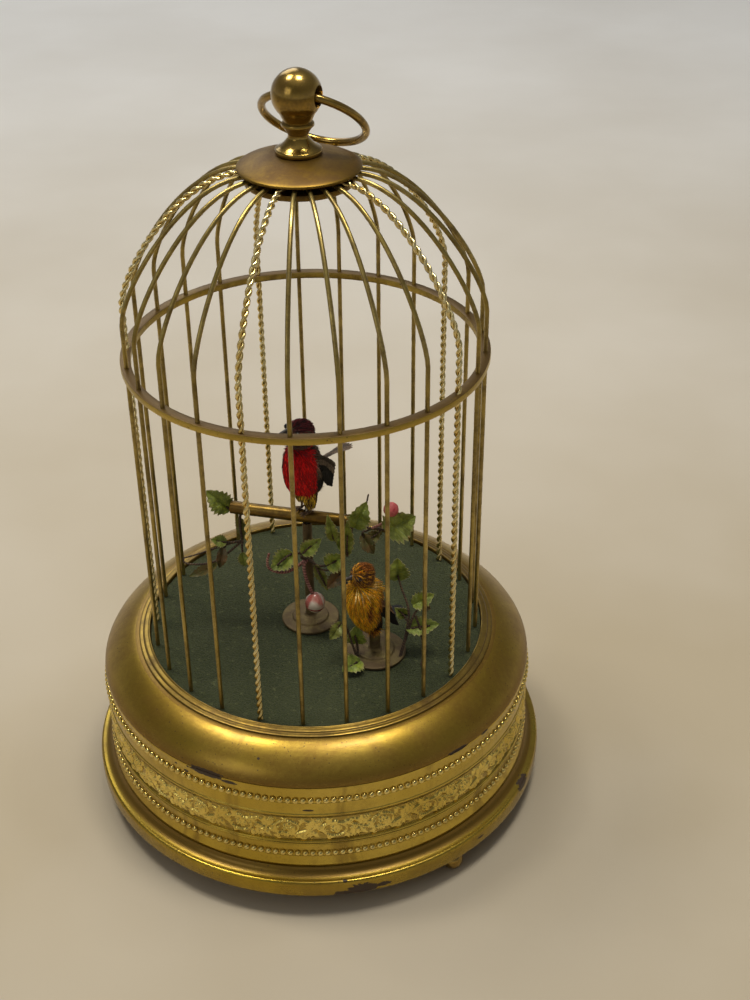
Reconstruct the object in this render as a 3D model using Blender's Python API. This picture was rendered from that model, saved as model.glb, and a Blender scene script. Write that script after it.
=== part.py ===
# Singing bird automaton: a domed brass wire cage on a turned brass base that holds the movement.
# Metres, +Z up. The origin is on the cage's axis at the table, and -Y is the front.
from math import asin, cos, degrees, pi, radians, sin, sqrt, tau

import bmesh
import bpy
from mathutils import Matrix, Vector

# Fits and facets
GAP = 0.0003  # between pieces that touch
BASE_STEPS = 36
CAP_STEPS = 24
SMALL_STEPS = 10
WIRE_SIDES = 6
PLAIN_BAR_SIDES = 5

# Ball feet
BALL_RADIUS = 0.0039
BALL_FLAT = 0.0012  # radius of the flat on which a foot stands
BALL_COUNT = 3
BALL_INSET = 0.0048  # of the feet's circle, from the flange's edge
BALL_AZIMUTH = radians(37.8)  # of the first foot, from the front towards +X

# Cast foot ring with its cove
FLANGE_REACH = 0.0060  # beyond the band
FLANGE_HEIGHT = 0.0071
FLANGE_EDGE = 0.0006
COVE_HEIGHT = 0.0027
FOOT_WALL = 0.0028  # from the band's outside in to the foot's bore
PLATE_SEAT = 0.0080  # height of the inner step that carries the bottom plate
PLATE_THICKNESS = 0.0015
SOUND_HOLE_RADIUS = 0.0040
SOUND_HOLE_INSET = 0.0105  # of the holes' circle, from the foot's bore

# Embossed band
BAND_RADIUS = 0.0793
BAND_HEIGHT = 0.0363
BAND_WALL = 0.0016
BEAD_HEIGHT = 0.0009  # how far the bead rows stand out
BEAD_WIDTH = 0.0026
LOWER_BEAD = 0.0057  # from the band's lower edge, as are the ridges' levels
UPPER_BEAD = 0.0307
RIDGES = ((0.0010, 0.0017, 0.0009), (0.0111, 0.0016, 0.00055), (0.0241, 0.0012, 0.00035))  # level, width, height
FRIEZE_LOW = 0.0121  # lower edge of the scrolls' ground
FRIEZE_HIGH = 0.0227
FRIEZE_DEPTH = 0.0002  # of that ground
RELIEF_HEIGHT = 0.0006  # of the scrolls
SCROLL_COUNT = 15  # waves round the band
SCROLL_STEPS = 8  # columns in one wave
SCROLL_SWING = 0.0024  # of the stem, up and down
STEM_WIDTH = 0.0026
COLUMNS_PER_STEP = 3  # of the scrolls, to one step of the plain mouldings

# Rounded shoulder and the rim that holds the floor
SHOULDER_OVERHANG = 0.0002  # beyond the band
SHOULDER_HEIGHT = 0.0101
SHOULDER_ROUND = 1.45  # 1 is a cone and 2 a quarter of an ellipse
SHOULDER_TOP_RADIUS = 0.0662
SHOULDER_WALL = 0.0020
RIM_HEIGHT = 0.0014
RIM_BORE = 0.0618
RIM_WALL = 0.0017
RIM_LIP = 0.0016  # inner lip under the floor
FLOOR_DEPTH = 0.0013  # from the rim's top down to the flocked floor
FLOOR_THICKNESS = 0.0030

# Cage wires
BAR_COUNT = 25
TWISTED_EVERY = 5
BAR_AZIMUTH = radians(-17.0)  # of the first twisted bar
BAR_RADIUS = 0.00085
BAR_CIRCLE = 0.0596
BAR_STRAIGHT = 0.1289
TWIST_WIDE = 0.00115
TWIST_FLAT = 0.00062
TWIST_PITCH = 0.0092
TWIST_STEPS = 4  # per turn
DOME_HEIGHT = 0.0451
DOME_UP_HANDLE = 0.0100
DOME_IN_HANDLE = 0.0214
DOME_STEPS = 6
CROWN_RADIUS = 0.0170  # where the wires end under the cap
HAIRPIN_RADIUS = 0.0144
TWIST_END_RADIUS = 0.0136

# Flat hoop that the wires pass through
HOOP_ABOVE_FLOOR = 0.1119
HOOP_THICKNESS = 0.0024
HOOP_WIDTH = 0.0036
HOOP_STEPS = 50

# Cap, finial and the nut that clamps them
CAP_RADIUS = 0.0196
CAP_EDGE = 0.0008
CAP_RISE = 0.0042
FINIAL_FOOT = 0.00735
FINIAL_WAIST = 0.00315
FINIAL_COLLAR = 0.00515
FINIAL_BALL = 0.0079
FINIAL_RISE = 0.0179  # from its seat to the ball's centre
FINIAL_STEM = 0.0020
NUT_FLANGE = 0.0175
NUT_HUB = 0.0118
NUT_THICKNESS = 0.0019
NUT_DEPTH = 0.0032

# Ring handle
RING_RADIUS = 0.0168
RING_WIRE = 0.0013
RING_AZIMUTH = radians(21.0)  # of the hole through the ball, from +X towards the front
RING_STEPS = 24

# Perch, its post and the small bird's stand
PERCH_RADIUS = 0.00235
PERCH_WALL = 0.0006
PERCH_LENGTH = 0.0447
PERCH_HEIGHT = 0.0460  # of its axis above the floor
PERCH_SHIFT = 0.0060  # of the post from the perch's middle
PERCH_ANGLE = radians(-13.0)
POST_PLACE = Vector((-0.0020, -0.0004))
POST_RADIUS = 0.0017
POST_DISC = 0.0107
DISC_THICKNESS = 0.0010
DISC_STEP = 0.0006  # the smaller disc on top of each
DISC_STEP_SHARE = 0.63
STAND_PLACE = Vector((0.0220, -0.0205))
STAND_DISC = 0.0113
STAND_HEIGHT = 0.0095
ROD_RADIUS = 0.0006

# Wire stalks, leaves, berry and bud
SPRIG_UNIT = 0.0010  # in which the stalks' steps are counted
STALK_RADIUS = 0.0005
TIE_HEIGHT = 0.0291  # above the floor, where a spray is tied to the post
BERRY_RADIUS = 0.0027
BUD_RADIUS = 0.0037

# Movement in the base
PLATE_RADIUS = 0.0640
PLATE_LEVEL = 0.0500
MOVEMENT_PLATE = 0.0015
PILLAR_RADIUS = 0.0022
ARBOR_RADIUS = 0.0012
BARREL_PLACE = Vector((-0.0340, 0.0120))
BARREL_TEETH = 32
BARREL_PITCH = 0.0280  # pitch radius of the great wheel
BARREL_DRUM = 0.0220
BARREL_HEIGHT = 0.0180
GREAT_WHEEL_LEVEL = 0.0240
WHEEL_THICKNESS = 0.0020
WINDING_RADIUS = 0.0023
RATCHET_TEETH = 12
RATCHET_RADIUS = 0.0090
RATCHET_DEPTH = 0.0016
CAM_DIRECTION = radians(10.0)
CAM_TEETH = 24
CAM_RADIUS = 0.0110
CAM_LIFT = 0.0018
CAM_STACK = 0.0100
SECOND_DIRECTION = radians(-75.0)
SECOND_PINION_TEETH = 8
SECOND_WHEEL_TEETH = 30
SECOND_WHEEL_PITCH = 0.0180
SECOND_LEVEL = 0.0452
FLY_DIRECTION = radians(-10.0)
FLY_PINION_TEETH = 8
FLY_VANE = 0.0090
FLY_VANE_HEIGHT = 0.0140
TOOTH_TIP = 0.5  # in modules, beyond the pitch circle
TOOTH_ROOT = 0.9  # in modules, inside it
BELLOWS_CENTRE = Vector((0.0500, -0.0060))
BELLOWS_SIZE = Vector((0.0280, 0.0360))
BELLOWS_BOARD = 0.0020
BELLOWS_FOLD = 0.0100
LEVER_GAP = 0.0015  # from the movement plate up to a bird's lever
FOLLOWER_THICKNESS = 0.0016
LEVER_HALF_WIDTH = 0.0012
WHISTLE_Y = 0.0540
WHISTLE_LEVEL = 0.0360
WHISTLE_LENGTH = 0.0440
WHISTLE_RADIUS = 0.0040
WHISTLE_BORE = 0.0027
PISTON_ROD = 0.0010
PISTON_REACH = 0.0140  # rod outside the tube
KEY_WING = 0.0100
KEY_STEM = 0.0030
KEY_CLEARANCE = 0.0025  # from the table
LEVER_INSET = 0.0145  # of its pivot, from the foot's bore
LEVER_TIP_INSET = 0.0023  # from the flange's edge
LEVER_LEVEL = 0.0046
LEVER_WIDTH = 0.0040
LEVER_THICKNESS = 0.0014

# Birds: a height from the toes to the crown, and the heading of the breast
RED_HEIGHT = 0.0374
RED_HEADING = radians(215.0)
RED_TAIL_HEIGHT = 0.52  # share of the bird's height
TAIL_LENGTH = 0.34
YELLOW_HEIGHT = 0.0302
YELLOW_HEADING = radians(205.0)
YELLOW_LEAN = 0.11  # its body ahead of its feet, as a share of its height
YELLOW_TAIL_HEIGHT = 0.24
RED_BEAK = (0.930, 0.025)  # height of its root, and how far its tip is below that, as shares of the bird's height
YELLOW_BEAK = (0.865, 0.035)

# Widths and levels that follow from the sizes above
FLANGE_RADIUS = BAND_RADIUS + FLANGE_REACH
BALL_CIRCLE = FLANGE_RADIUS - BALL_INSET
FOOT_BORE = BAND_RADIUS - FOOT_WALL
SOUND_HOLE_CIRCLE = FOOT_BORE - SOUND_HOLE_INSET
SHOULDER_RADIUS = BAND_RADIUS + SHOULDER_OVERHANG
LEVER_PIVOT_Y = FOOT_BORE - LEVER_INSET
LEVER_TIP_Y = FLANGE_RADIUS - LEVER_TIP_INSET
FOOT_CENTRE_Z = sqrt(BALL_RADIUS**2 - BALL_FLAT**2)
FLANGE_Z = 2 * FOOT_CENTRE_Z + GAP
PLATE_Z = FLANGE_Z + PLATE_SEAT + GAP
PLATE_TOP = PLATE_Z + PLATE_THICKNESS
COVE_TOP = FLANGE_Z + FLANGE_HEIGHT + COVE_HEIGHT
BAND_Z = COVE_TOP + GAP
BAND_TOP = BAND_Z + BAND_HEIGHT
SHOULDER_Z = BAND_TOP + GAP
SHOULDER_TOP = SHOULDER_Z + SHOULDER_HEIGHT
RIM_TOP = SHOULDER_TOP + GAP + RIM_HEIGHT
FLOOR_TOP = RIM_TOP - FLOOR_DEPTH
FLOOR_Z = FLOOR_TOP - FLOOR_THICKNESS
DOME_Z = FLOOR_TOP + GAP + BAR_STRAIGHT
CROWN_Z = DOME_Z + DOME_HEIGHT
CAP_EDGE_Z = CROWN_Z + TWIST_WIDE + GAP
SEAT_Z = CAP_EDGE_Z + CAP_EDGE + CAP_RISE * (1 - (FINIAL_FOOT / CAP_RADIUS) ** 2)
BALL_Z = SEAT_Z + GAP + FINIAL_RISE
PERCH_Z = FLOOR_TOP + PERCH_HEIGHT
ROD_BORE = ROD_RADIUS + GAP + 0.0001


def clear_scene():
    for obj in list(bpy.data.objects):
        bpy.data.objects.remove(obj, do_unlink=True)


def material(name, colour, metallic, roughness):
    """One plain Principled material for each finish."""
    found = bpy.data.materials.get(name)
    if found:
        return found
    made = bpy.data.materials.new(name)
    made.use_nodes = True
    shader = made.node_tree.nodes["Principled BSDF"]
    shader.inputs["Base Color"].default_value = (*colour, 1)
    shader.inputs["Metallic"].default_value = metallic
    shader.inputs["Roughness"].default_value = roughness
    made.diffuse_color = (*colour, 1)
    return made


def brass():
    return material("brass", (0.60, 0.42, 0.16), 1.0, 0.30)


def dark_brass():
    return material("patinated_brass", (0.30, 0.20, 0.09), 1.0, 0.45)


def steel():
    return material("steel", (0.45, 0.45, 0.46), 1.0, 0.35)


def green_flock():
    return material("green_flock", (0.05, 0.09, 0.05), 0.0, 0.95)


def leaf_green():
    return material("leaf_green", (0.13, 0.24, 0.03), 0.0, 0.70)


def place(bm, name, finish, origin=(0, 0, 0), smooth=True):
    """Makes an object of a mesh drawn in world coordinates, with its origin moved to a pivot."""
    origin = Vector(origin)
    bmesh.ops.remove_doubles(bm, verts=bm.verts, dist=1e-7)
    bmesh.ops.recalc_face_normals(bm, faces=bm.faces)
    bmesh.ops.translate(bm, verts=bm.verts, vec=-origin)
    mesh = bpy.data.meshes.new(name)
    bm.to_mesh(mesh)
    bm.free()
    if smooth:
        mesh.shade_smooth()
        mesh.set_sharp_from_angle(angle=radians(35))
    obj = bpy.data.objects.new(name, mesh)
    obj.location = origin
    obj.data.materials.append(finish)
    bpy.context.scene.collection.objects.link(obj)
    return obj


def helper(bm, name):
    """A guide solid that a Boolean uses and nothing shows."""
    obj = place(bm, name, brass(), smooth=False)
    obj.hide_render = True
    obj.display_type = "WIRE"
    return obj


def boolean(obj, operation, other):
    step = obj.modifiers.new(operation.lower() + "_" + other.name, "BOOLEAN")
    step.operation = operation
    step.solver = "EXACT"
    step.object = other
    return obj


def moved(bm, matrix):
    bmesh.ops.transform(bm, matrix=matrix, verts=bm.verts)
    return bm


def merged(*parts):
    """One mesh of several separate ones."""
    whole = bmesh.new()
    for part in parts:
        held = bpy.data.meshes.new("held")
        part.to_mesh(held)
        part.free()
        whole.from_mesh(held)
        bpy.data.meshes.remove(held)
    return whole


def turned(profile, steps, place_xy=(0, 0)):
    """A profile of (radius, height) points spun round a vertical axis."""
    bm = bmesh.new()
    points = [bm.verts.new((radius, 0, z)) for radius, z in profile]
    edges = [bm.edges.new(pair) for pair in zip(points, points[1:])]
    if profile[0][0] > 0:
        edges.append(bm.edges.new((points[-1], points[0])))
    bmesh.ops.spin(bm, geom=points + edges, axis=(0, 0, 1), cent=(0, 0, 0), angle=tau, steps=steps, use_merge=True)
    bmesh.ops.remove_doubles(bm, verts=bm.verts, dist=1e-7)
    return moved(bm, Matrix.Translation((*place_xy, 0)))


def circle(radius, steps, centre=(0, 0), start=0.0):
    return [
        (centre[0] + radius * cos(start + tau * i / steps), centre[1] + radius * sin(start + tau * i / steps))
        for i in range(steps)
    ]


def plate(outline, z_low, z_high, holes=()):
    """A flat outline with holes, raised to a plate."""
    bm = bmesh.new()
    edges = []
    for loop in (outline, *holes):
        points = [bm.verts.new((x, y, z_low)) for x, y in loop]
        edges += [bm.edges.new(pair) for pair in zip(points, points[1:] + points[:1])]
    bmesh.ops.triangle_fill(bm, use_beauty=True, edges=edges)
    raised = bmesh.ops.extrude_face_region(bm, geom=bm.faces[:])["geom"]
    top = [item for item in raised if isinstance(item, bmesh.types.BMVert)]
    bmesh.ops.translate(bm, verts=top, vec=(0, 0, z_high - z_low))
    return bm


def lofted(rings, closed=False):
    """A skin over rings that all have the same number of points."""
    bm = bmesh.new()
    loops = [[bm.verts.new(point) for point in ring] for ring in rings]
    pairs = list(zip(loops, loops[1:] + loops[:1] if closed else loops[1:]))
    for low, high in pairs:
        for i in range(len(low)):
            j = (i + 1) % len(low)
            bm.faces.new((low[i], low[j], high[j], high[i]))
    if not closed:
        bm.faces.new(loops[0][::-1])
        bm.faces.new(loops[-1])
    return bm


def frames(points, side, closed=False):
    """Directions across a path: for each point its two unit cross axes."""
    found = []
    count = len(points)
    for i, point in enumerate(points):
        before = points[i - 1] if i or closed else point
        after = points[(i + 1) % count] if i < count - 1 or closed else point
        along = (after - before).normalized()
        across = (side - along * side.dot(along)).normalized()
        found.append((across, along.cross(across)))
    return found


def swept(points, sizes, side, sides=WIRE_SIDES, turns=None, closed=False):
    """A tube along points. Each size is (half width, half depth), and each turn twists its ring."""
    rings = []
    for i, (across, up) in enumerate(frames(points, side, closed)):
        wide, deep = sizes[i]
        turn = turns[i] if turns else 0.0
        a = cos(turn) * across + sin(turn) * up
        b = -sin(turn) * across + cos(turn) * up
        rings.append(
            [points[i] + a * wide * cos(tau * k / sides) + b * deep * sin(tau * k / sides) for k in range(sides)]
        )
    return lofted(rings, closed)


def post(centre, radius, z_low, z_high, sides=WIRE_SIDES):
    return plate(circle(radius, sides, centre), z_low, z_high)


def box(low, high):
    outline = [(low[0], low[1]), (high[0], low[1]), (high[0], high[1]), (low[0], high[1])]
    return plate(outline, low[2], high[2])


# Base


def ball_feet():
    flat_angle = asin(BALL_FLAT / BALL_RADIUS)
    arc = [flat_angle + (pi - 2 * flat_angle) * i / 4 for i in range(5)]
    profile = [(0, 0)]
    profile += [(BALL_RADIUS * sin(a), FOOT_CENTRE_Z - BALL_RADIUS * cos(a)) for a in arc]
    profile.append((0, 2 * FOOT_CENTRE_Z))
    for i in range(BALL_COUNT):
        azimuth = BALL_AZIMUTH + tau * i / BALL_COUNT
        spot = (BALL_CIRCLE * sin(azimuth), -BALL_CIRCLE * cos(azimuth))
        place(turned(profile, 8, spot), f"ball_foot_{i + 1}", brass(), (*spot, FOOT_CENTRE_Z))


def foot_ring():
    low = FLANGE_Z
    top = low + FLANGE_HEIGHT
    edge = FLANGE_EDGE
    neck = BAND_RADIUS + BEAD_HEIGHT
    seat = BAND_RADIUS - BAND_WALL + BEAD_HEIGHT
    profile = [
        (FLANGE_RADIUS - edge, low),
        (FLANGE_RADIUS, low + edge),
        (FLANGE_RADIUS, top - edge),
        (FLANGE_RADIUS - edge, top),
        (neck + 0.36 * (FLANGE_RADIUS - neck), top + 0.22 * COVE_HEIGHT),
        (neck, COVE_TOP),
        (seat, COVE_TOP),
        (seat, low + PLATE_SEAT),
        (FOOT_BORE, low + PLATE_SEAT),
        (FOOT_BORE, low),
    ]
    place(turned(profile[::-1], BASE_STEPS), "base_foot", brass())


def bottom_plate():
    edge = BAND_RADIUS - BAND_WALL + BEAD_HEIGHT - GAP
    holes = [circle(WINDING_RADIUS + GAP, 8, BARREL_PLACE), circle(ARBOR_RADIUS + 2 * GAP, 8, (0, LEVER_PIVOT_Y))]
    for angle in (radians(-150), radians(-60), radians(60)):
        spot = (SOUND_HOLE_CIRCLE * cos(angle), SOUND_HOLE_CIRCLE * sin(angle))
        holes.append(circle(SOUND_HOLE_RADIUS, 8, spot))
    place(plate(circle(edge, 32), PLATE_Z, PLATE_TOP, holes), "bottom_plate", dark_brass())


def raised(level, width, height):
    """Three points of one raised row on the band, each a height on it and a rise from its face."""
    return [(level - width / 2, 0), (level, height), (level + width / 2, 0)]


def scroll_column(column):
    """The same kind of points up one column of the frieze: a waving stem, with a leaf in each hollow."""
    wave = sin(tau * column / SCROLL_STEPS)
    middle = (FRIEZE_LOW + FRIEZE_HIGH) / 2 + SCROLL_SWING * wave
    low, high = middle - STEM_WIDTH / 2, middle + STEM_WIDTH / 2
    ground = -FRIEZE_DEPTH
    under, over = (ground + (RELIEF_HEIGHT - ground) * max(side * wave, 0) ** 3 for side in (1, -1))
    return [
        (FRIEZE_LOW, ground),
        ((FRIEZE_LOW + low) / 2, under),
        (low, ground),
        (middle, RELIEF_HEIGHT),
        (high, ground),
        ((high + FRIEZE_HIGH) / 2, over),
        (FRIEZE_HIGH, ground),
    ]


def band_ring(bm, points):
    """A ring of vertices on the band, one for each (height, rise)."""
    ring = []
    for i, (height, rise) in enumerate(points):
        ring.append(bm.verts.new(on_azimuth(BAND_RADIUS + rise, BAND_Z + height, tau * i / len(points))))
    return ring


def bridged(bm, low, high):
    """Faces between two rings that have the same steps, or where one has several to a step of the other."""
    few, many = (low, high) if len(low) <= len(high) else (high, low)
    share = len(many) // len(few)
    for i, corner in enumerate(few):
        following = few[(i + 1) % len(few)]
        fan = [many[(i * share + k) % len(many)] for k in range(share + 1)]
        if share == 1:
            bm.faces.new((corner, following, fan[1], fan[0]))
            continue
        for near, far in zip(fan[:-1], fan[1:-1]):
            bm.faces.new((corner, far, near))
        bm.faces.new((corner, following, fan[-2]))
        bm.faces.new((following, fan[-1], fan[-2]))


def embossed_band():
    bm = bmesh.new()
    few, many = SCROLL_COUNT * SCROLL_STEPS // COLUMNS_PER_STEP, SCROLL_COUNT * SCROLL_STEPS
    lower, small, upper = RIDGES
    below = [(0, 0)] + raised(*lower) + raised(LOWER_BEAD, BEAD_WIDTH, BEAD_HEIGHT) + raised(*small)
    above = raised(*upper) + raised(UPPER_BEAD, BEAD_WIDTH, BEAD_HEIGHT) + [(BAND_HEIGHT, 0)]
    inside = [(BAND_HEIGHT, -BAND_WALL), (0, -BAND_WALL)]
    scrolls = [band_ring(bm, row) for row in zip(*(scroll_column(column) for column in range(many)))]
    rings = [band_ring(bm, [point] * few) for point in below]
    rings += scrolls
    rings += [band_ring(bm, [point] * few) for point in above + inside]
    for low, high in zip(rings, rings[1:] + rings[:1]):
        bridged(bm, low, high)
    place(bm, "base_band", brass())


def shoulder():
    reach = SHOULDER_RADIUS - SHOULDER_TOP_RADIUS
    power = 2 / SHOULDER_ROUND
    outer = [
        (SHOULDER_TOP_RADIUS + reach * max(cos(a), 0) ** power, SHOULDER_Z + SHOULDER_HEIGHT * sin(a) ** power)
        for a in (0, pi / 10, pi / 5, 3 * pi / 10, 2 * pi / 5, pi / 2)
    ]
    wall = SHOULDER_WALL
    inner = [
        (RIM_BORE + RIM_WALL + GAP, SHOULDER_TOP),
        (RIM_BORE + RIM_WALL + GAP, SHOULDER_TOP - wall),
        (SHOULDER_TOP_RADIUS + (reach - wall) / 2, SHOULDER_Z + (SHOULDER_HEIGHT - wall) / 2),
        (SHOULDER_RADIUS - wall, SHOULDER_Z),
    ]
    place(turned((outer + inner)[::-1], BASE_STEPS), "base_shoulder", brass())


def floor_rim():
    seat = SHOULDER_TOP + GAP
    neck = RIM_BORE + RIM_WALL
    lip = RIM_BORE - RIM_LIP
    lip_top = FLOOR_Z - GAP
    lip_low = lip_top - 0.0012
    foot = SHOULDER_TOP_RADIUS - GAP
    step = (RIM_BORE + foot) / 2 + GAP
    profile = [
        (neck, lip_low),
        (neck, seat),
        (foot, seat),
        (foot - GAP, seat + 0.25 * RIM_HEIGHT),
        (step + GAP, seat + 0.30 * RIM_HEIGHT),
        (step, seat + 0.60 * RIM_HEIGHT),
        (RIM_BORE + 2 * GAP, RIM_TOP - 0.15 * RIM_HEIGHT),
        (RIM_BORE + GAP, RIM_TOP),
        (RIM_BORE, RIM_TOP - 0.15 * RIM_HEIGHT),
        (RIM_BORE, lip_top),
        (lip, lip_top),
        (lip, lip_low),
    ]
    place(turned(profile, BASE_STEPS), "floor_rim", dark_brass())


def cage_floor():
    holes = [circle(ROD_BORE, 6, POST_PLACE), circle(ROD_BORE, 6, STAND_PLACE)]
    disc = plate(circle(RIM_BORE - GAP, BASE_STEPS), FLOOR_Z, FLOOR_TOP, holes)
    place(disc, "cage_floor", green_flock())


# Cage


def dome_point(share):
    """Radius and height on the wire's dome, from its straight part (0) to the crown (1)."""
    ends = (
        Vector((BAR_CIRCLE, DOME_Z)),
        Vector((BAR_CIRCLE, DOME_Z + DOME_UP_HANDLE)),
        Vector((CROWN_RADIUS + DOME_IN_HANDLE, CROWN_Z)),
        Vector((CROWN_RADIUS, CROWN_Z)),
    )
    rest = 1 - share
    weights = (rest**3, 3 * rest**2 * share, 3 * rest * share**2, share**3)
    return sum((end * weight for end, weight in zip(ends, weights)), Vector((0, 0)))


def dome_height(radius):
    """Height of the wires' axis at a radius, by halving the dome curve."""
    low, high = 0.0, 1.0
    for _ in range(40):
        middle = (low + high) / 2
        low, high = (middle, high) if dome_point(middle).x > radius else (low, middle)
    return dome_point(low).y


def on_azimuth(radius, z, azimuth):
    return Vector((radius * sin(azimuth), -radius * cos(azimuth), z))


def bar_azimuth(index):
    return BAR_AZIMUTH + tau * index / BAR_COUNT


def bar_path(azimuth, shares):
    foot = on_azimuth(BAR_CIRCLE, FLOOR_TOP + GAP, azimuth)
    return [foot] + [on_azimuth(*dome_point(share), azimuth) for share in shares]


def plain_bars():
    """Neighbouring plain bars are one wire, bent over under the cap."""
    shares = [(i / DOME_STEPS) ** 0.8 for i in range(DOME_STEPS + 1)]
    pairs = [i for i in range(BAR_COUNT) if i % TWISTED_EVERY in (1, 3)]
    step = tau / BAR_COUNT
    for number, index in enumerate(pairs, 1):
        azimuth = bar_azimuth(index)
        middle = azimuth + step / 2
        up = bar_path(azimuth, shares)
        down = bar_path(azimuth + step, shares)[::-1]
        shoulder_radius = (CROWN_RADIUS + 2 * HAIRPIN_RADIUS) / 3
        bend = [
            on_azimuth(shoulder_radius, CROWN_Z, azimuth + 0.12 * step),
            on_azimuth(HAIRPIN_RADIUS, CROWN_Z, middle),
            on_azimuth(shoulder_radius, CROWN_Z, azimuth + 0.88 * step),
        ]
        path = up + bend + down
        outward = on_azimuth(1, 0, middle)
        sideways = Vector((0, 0, 1)).cross(outward)
        rings = []
        for i, point in enumerate(path):
            before, after = path[max(i - 1, 0)], path[min(i + 1, len(path) - 1)]
            along = (after - before).normalized()
            across = along.cross(sideways) if abs(along.dot(sideways)) < 0.7 else Vector((0, 0, 1))
            across = (across - along * across.dot(along)).normalized()
            other = along.cross(across)
            rings.append(
                [
                    point + BAR_RADIUS * (across * cos(turn) + other * sin(turn))
                    for turn in (tau * k / PLAIN_BAR_SIDES for k in range(PLAIN_BAR_SIDES))
                ]
            )
        place(lofted(rings), f"bar_pair_{number:02d}", brass())


def twisted_bars():
    """Two strands twisted together, as one flat section that turns along the wire."""
    fine = [i / 60 for i in range(61)]
    for number in range(BAR_COUNT // TWISTED_EVERY):
        azimuth = bar_azimuth(number * TWISTED_EVERY)
        rough = bar_path(azimuth, fine) + [on_azimuth(TWIST_END_RADIUS, CROWN_Z, azimuth)]
        spacing = TWIST_PITCH / TWIST_STEPS
        path = evenly_spaced(rough, spacing)
        turns = [tau * i / TWIST_STEPS for i in range(len(path))]
        sizes = [(TWIST_WIDE, TWIST_FLAT)] * len(path)
        side = Vector((cos(azimuth), sin(azimuth), 0))
        place(swept(path, sizes, side, 4, turns), f"twisted_bar_{number + 1}", brass(), smooth=False)


def evenly_spaced(points, spacing):
    """Points along a line of points, one every so much, with its own last point kept."""
    found = [points[0]]
    left = spacing
    for start, end in zip(points, points[1:]):
        length = (end - start).length
        walked = left
        while walked <= length:
            found.append(start.lerp(end, walked / length))
            walked += spacing
        left = walked - length
    if (found[-1] - points[-1]).length < 0.5 * spacing:
        found.pop()
    return found + [points[-1]]


def cage_hoop():
    middle = BAR_CIRCLE
    low = FLOOR_TOP + HOOP_ABOVE_FLOOR
    holes = [circle(middle - HOOP_WIDTH / 2, HOOP_STEPS)]
    for i in range(BAR_COUNT):
        wire = BAR_RADIUS if i % TWISTED_EVERY else TWIST_WIDE
        radius = (wire + GAP) / cos(pi / 6)
        azimuth = bar_azimuth(i)
        spot = on_azimuth(middle, 0, azimuth)
        holes.append(circle(radius, 6, spot, azimuth))
    ring = plate(circle(middle + HOOP_WIDTH / 2, HOOP_STEPS), low, low + HOOP_THICKNESS, holes)
    place(ring, "cage_hoop", dark_brass())


def cap_disc():
    def top(radius):
        return CAP_EDGE_Z + CAP_EDGE + CAP_RISE * (1 - (radius / CAP_RADIUS) ** 2)

    inner_edge = CAP_RADIUS - CAP_EDGE
    seat = FINIAL_FOOT + GAP
    bore = FINIAL_STEM + GAP
    radii = (CAP_RADIUS, 0.84 * CAP_RADIUS, 0.63 * CAP_RADIUS)
    profile = [(bore, SEAT_Z), (bore, SEAT_Z - CAP_EDGE), (seat, SEAT_Z - CAP_EDGE)]
    profile += [(0.63 * inner_edge, top(0.63 * CAP_RADIUS) - CAP_EDGE), (inner_edge, CAP_EDGE_Z)]
    profile += [(CAP_RADIUS, CAP_EDGE_Z)] + [(radius, top(radius)) for radius in radii] + [(seat, SEAT_Z)]
    place(turned(profile, CAP_STEPS), "cap_disc", dark_brass())


def finial():
    low = SEAT_Z + GAP
    stem_low = CROWN_Z - TWIST_WIDE - GAP - NUT_THICKNESS - NUT_DEPTH
    waist_z = low + 0.30 * FINIAL_RISE
    collar_z = low + 0.49 * FINIAL_RISE
    neck_radius = 0.58 * FINIAL_BALL
    profile = [
        (0, stem_low),
        (FINIAL_STEM, stem_low),
        (FINIAL_STEM, low),
        (FINIAL_FOOT, low),
        (FINIAL_FOOT, low + 0.0012),
        (0.86 * FINIAL_FOOT, low + 0.0019),
        (0.57 * FINIAL_FOOT, low + 0.0036),
        (FINIAL_WAIST, waist_z),
        (0.6 * FINIAL_WAIST + 0.4 * FINIAL_COLLAR, (waist_z + 2 * collar_z) / 3),
        (FINIAL_COLLAR, collar_z),
        (neck_radius, collar_z + 0.0011),
    ]
    start = -radians(42)
    for i in range(6):
        a = start + (pi / 2 - start) * i / 6
        profile.append((FINIAL_BALL * cos(a), BALL_Z + FINIAL_BALL * sin(a)))
    profile.append((0, BALL_Z + FINIAL_BALL))
    body = place(turned(profile, 16), "finial", brass())
    reach = FINIAL_BALL + 0.001
    sag = reach**2 / (2 * RING_RADIUS)
    wide, narrow = RING_WIRE + GAP + sag, (RING_WIRE + GAP) / cos(pi / 8)
    along = Vector((cos(RING_AZIMUTH), -sin(RING_AZIMUTH), 0))
    centre = Vector((0, 0, BALL_Z))
    points = [centre - along * reach, centre, centre + along * reach]
    bore = swept(points, [(wide, wide), (narrow, narrow), (wide, wide)], Vector((0, 0, 1)), 8)
    boolean(body, "DIFFERENCE", helper(bore, "ring_bore"))


def crown_nut():
    top = CROWN_Z - TWIST_WIDE - GAP
    low = top - NUT_THICKNESS
    bore = FINIAL_STEM + GAP
    hub_top = SEAT_Z - CAP_EDGE - CAP_RISE * 0.5
    profile = [
        (bore, low - NUT_DEPTH),
        (0.0052, low - NUT_DEPTH),
        (0.0052, low),
        (NUT_FLANGE, low),
        (NUT_FLANGE, top),
        (NUT_HUB, top),
        (NUT_HUB, hub_top),
        (bore, hub_top),
    ]
    place(turned(profile, SMALL_STEPS), "crown_nut", brass())


def ring_rest_angle():
    """How far the ring droops before it lies on the dome wires."""
    droop = radians(45)
    for _ in range(30):
        reach = 2 * RING_RADIUS * cos(droop)
        rest = dome_height(reach) + TWIST_WIDE + GAP + RING_WIRE
        droop = asin((BALL_Z - rest) / (2 * RING_RADIUS))
    return droop


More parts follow.
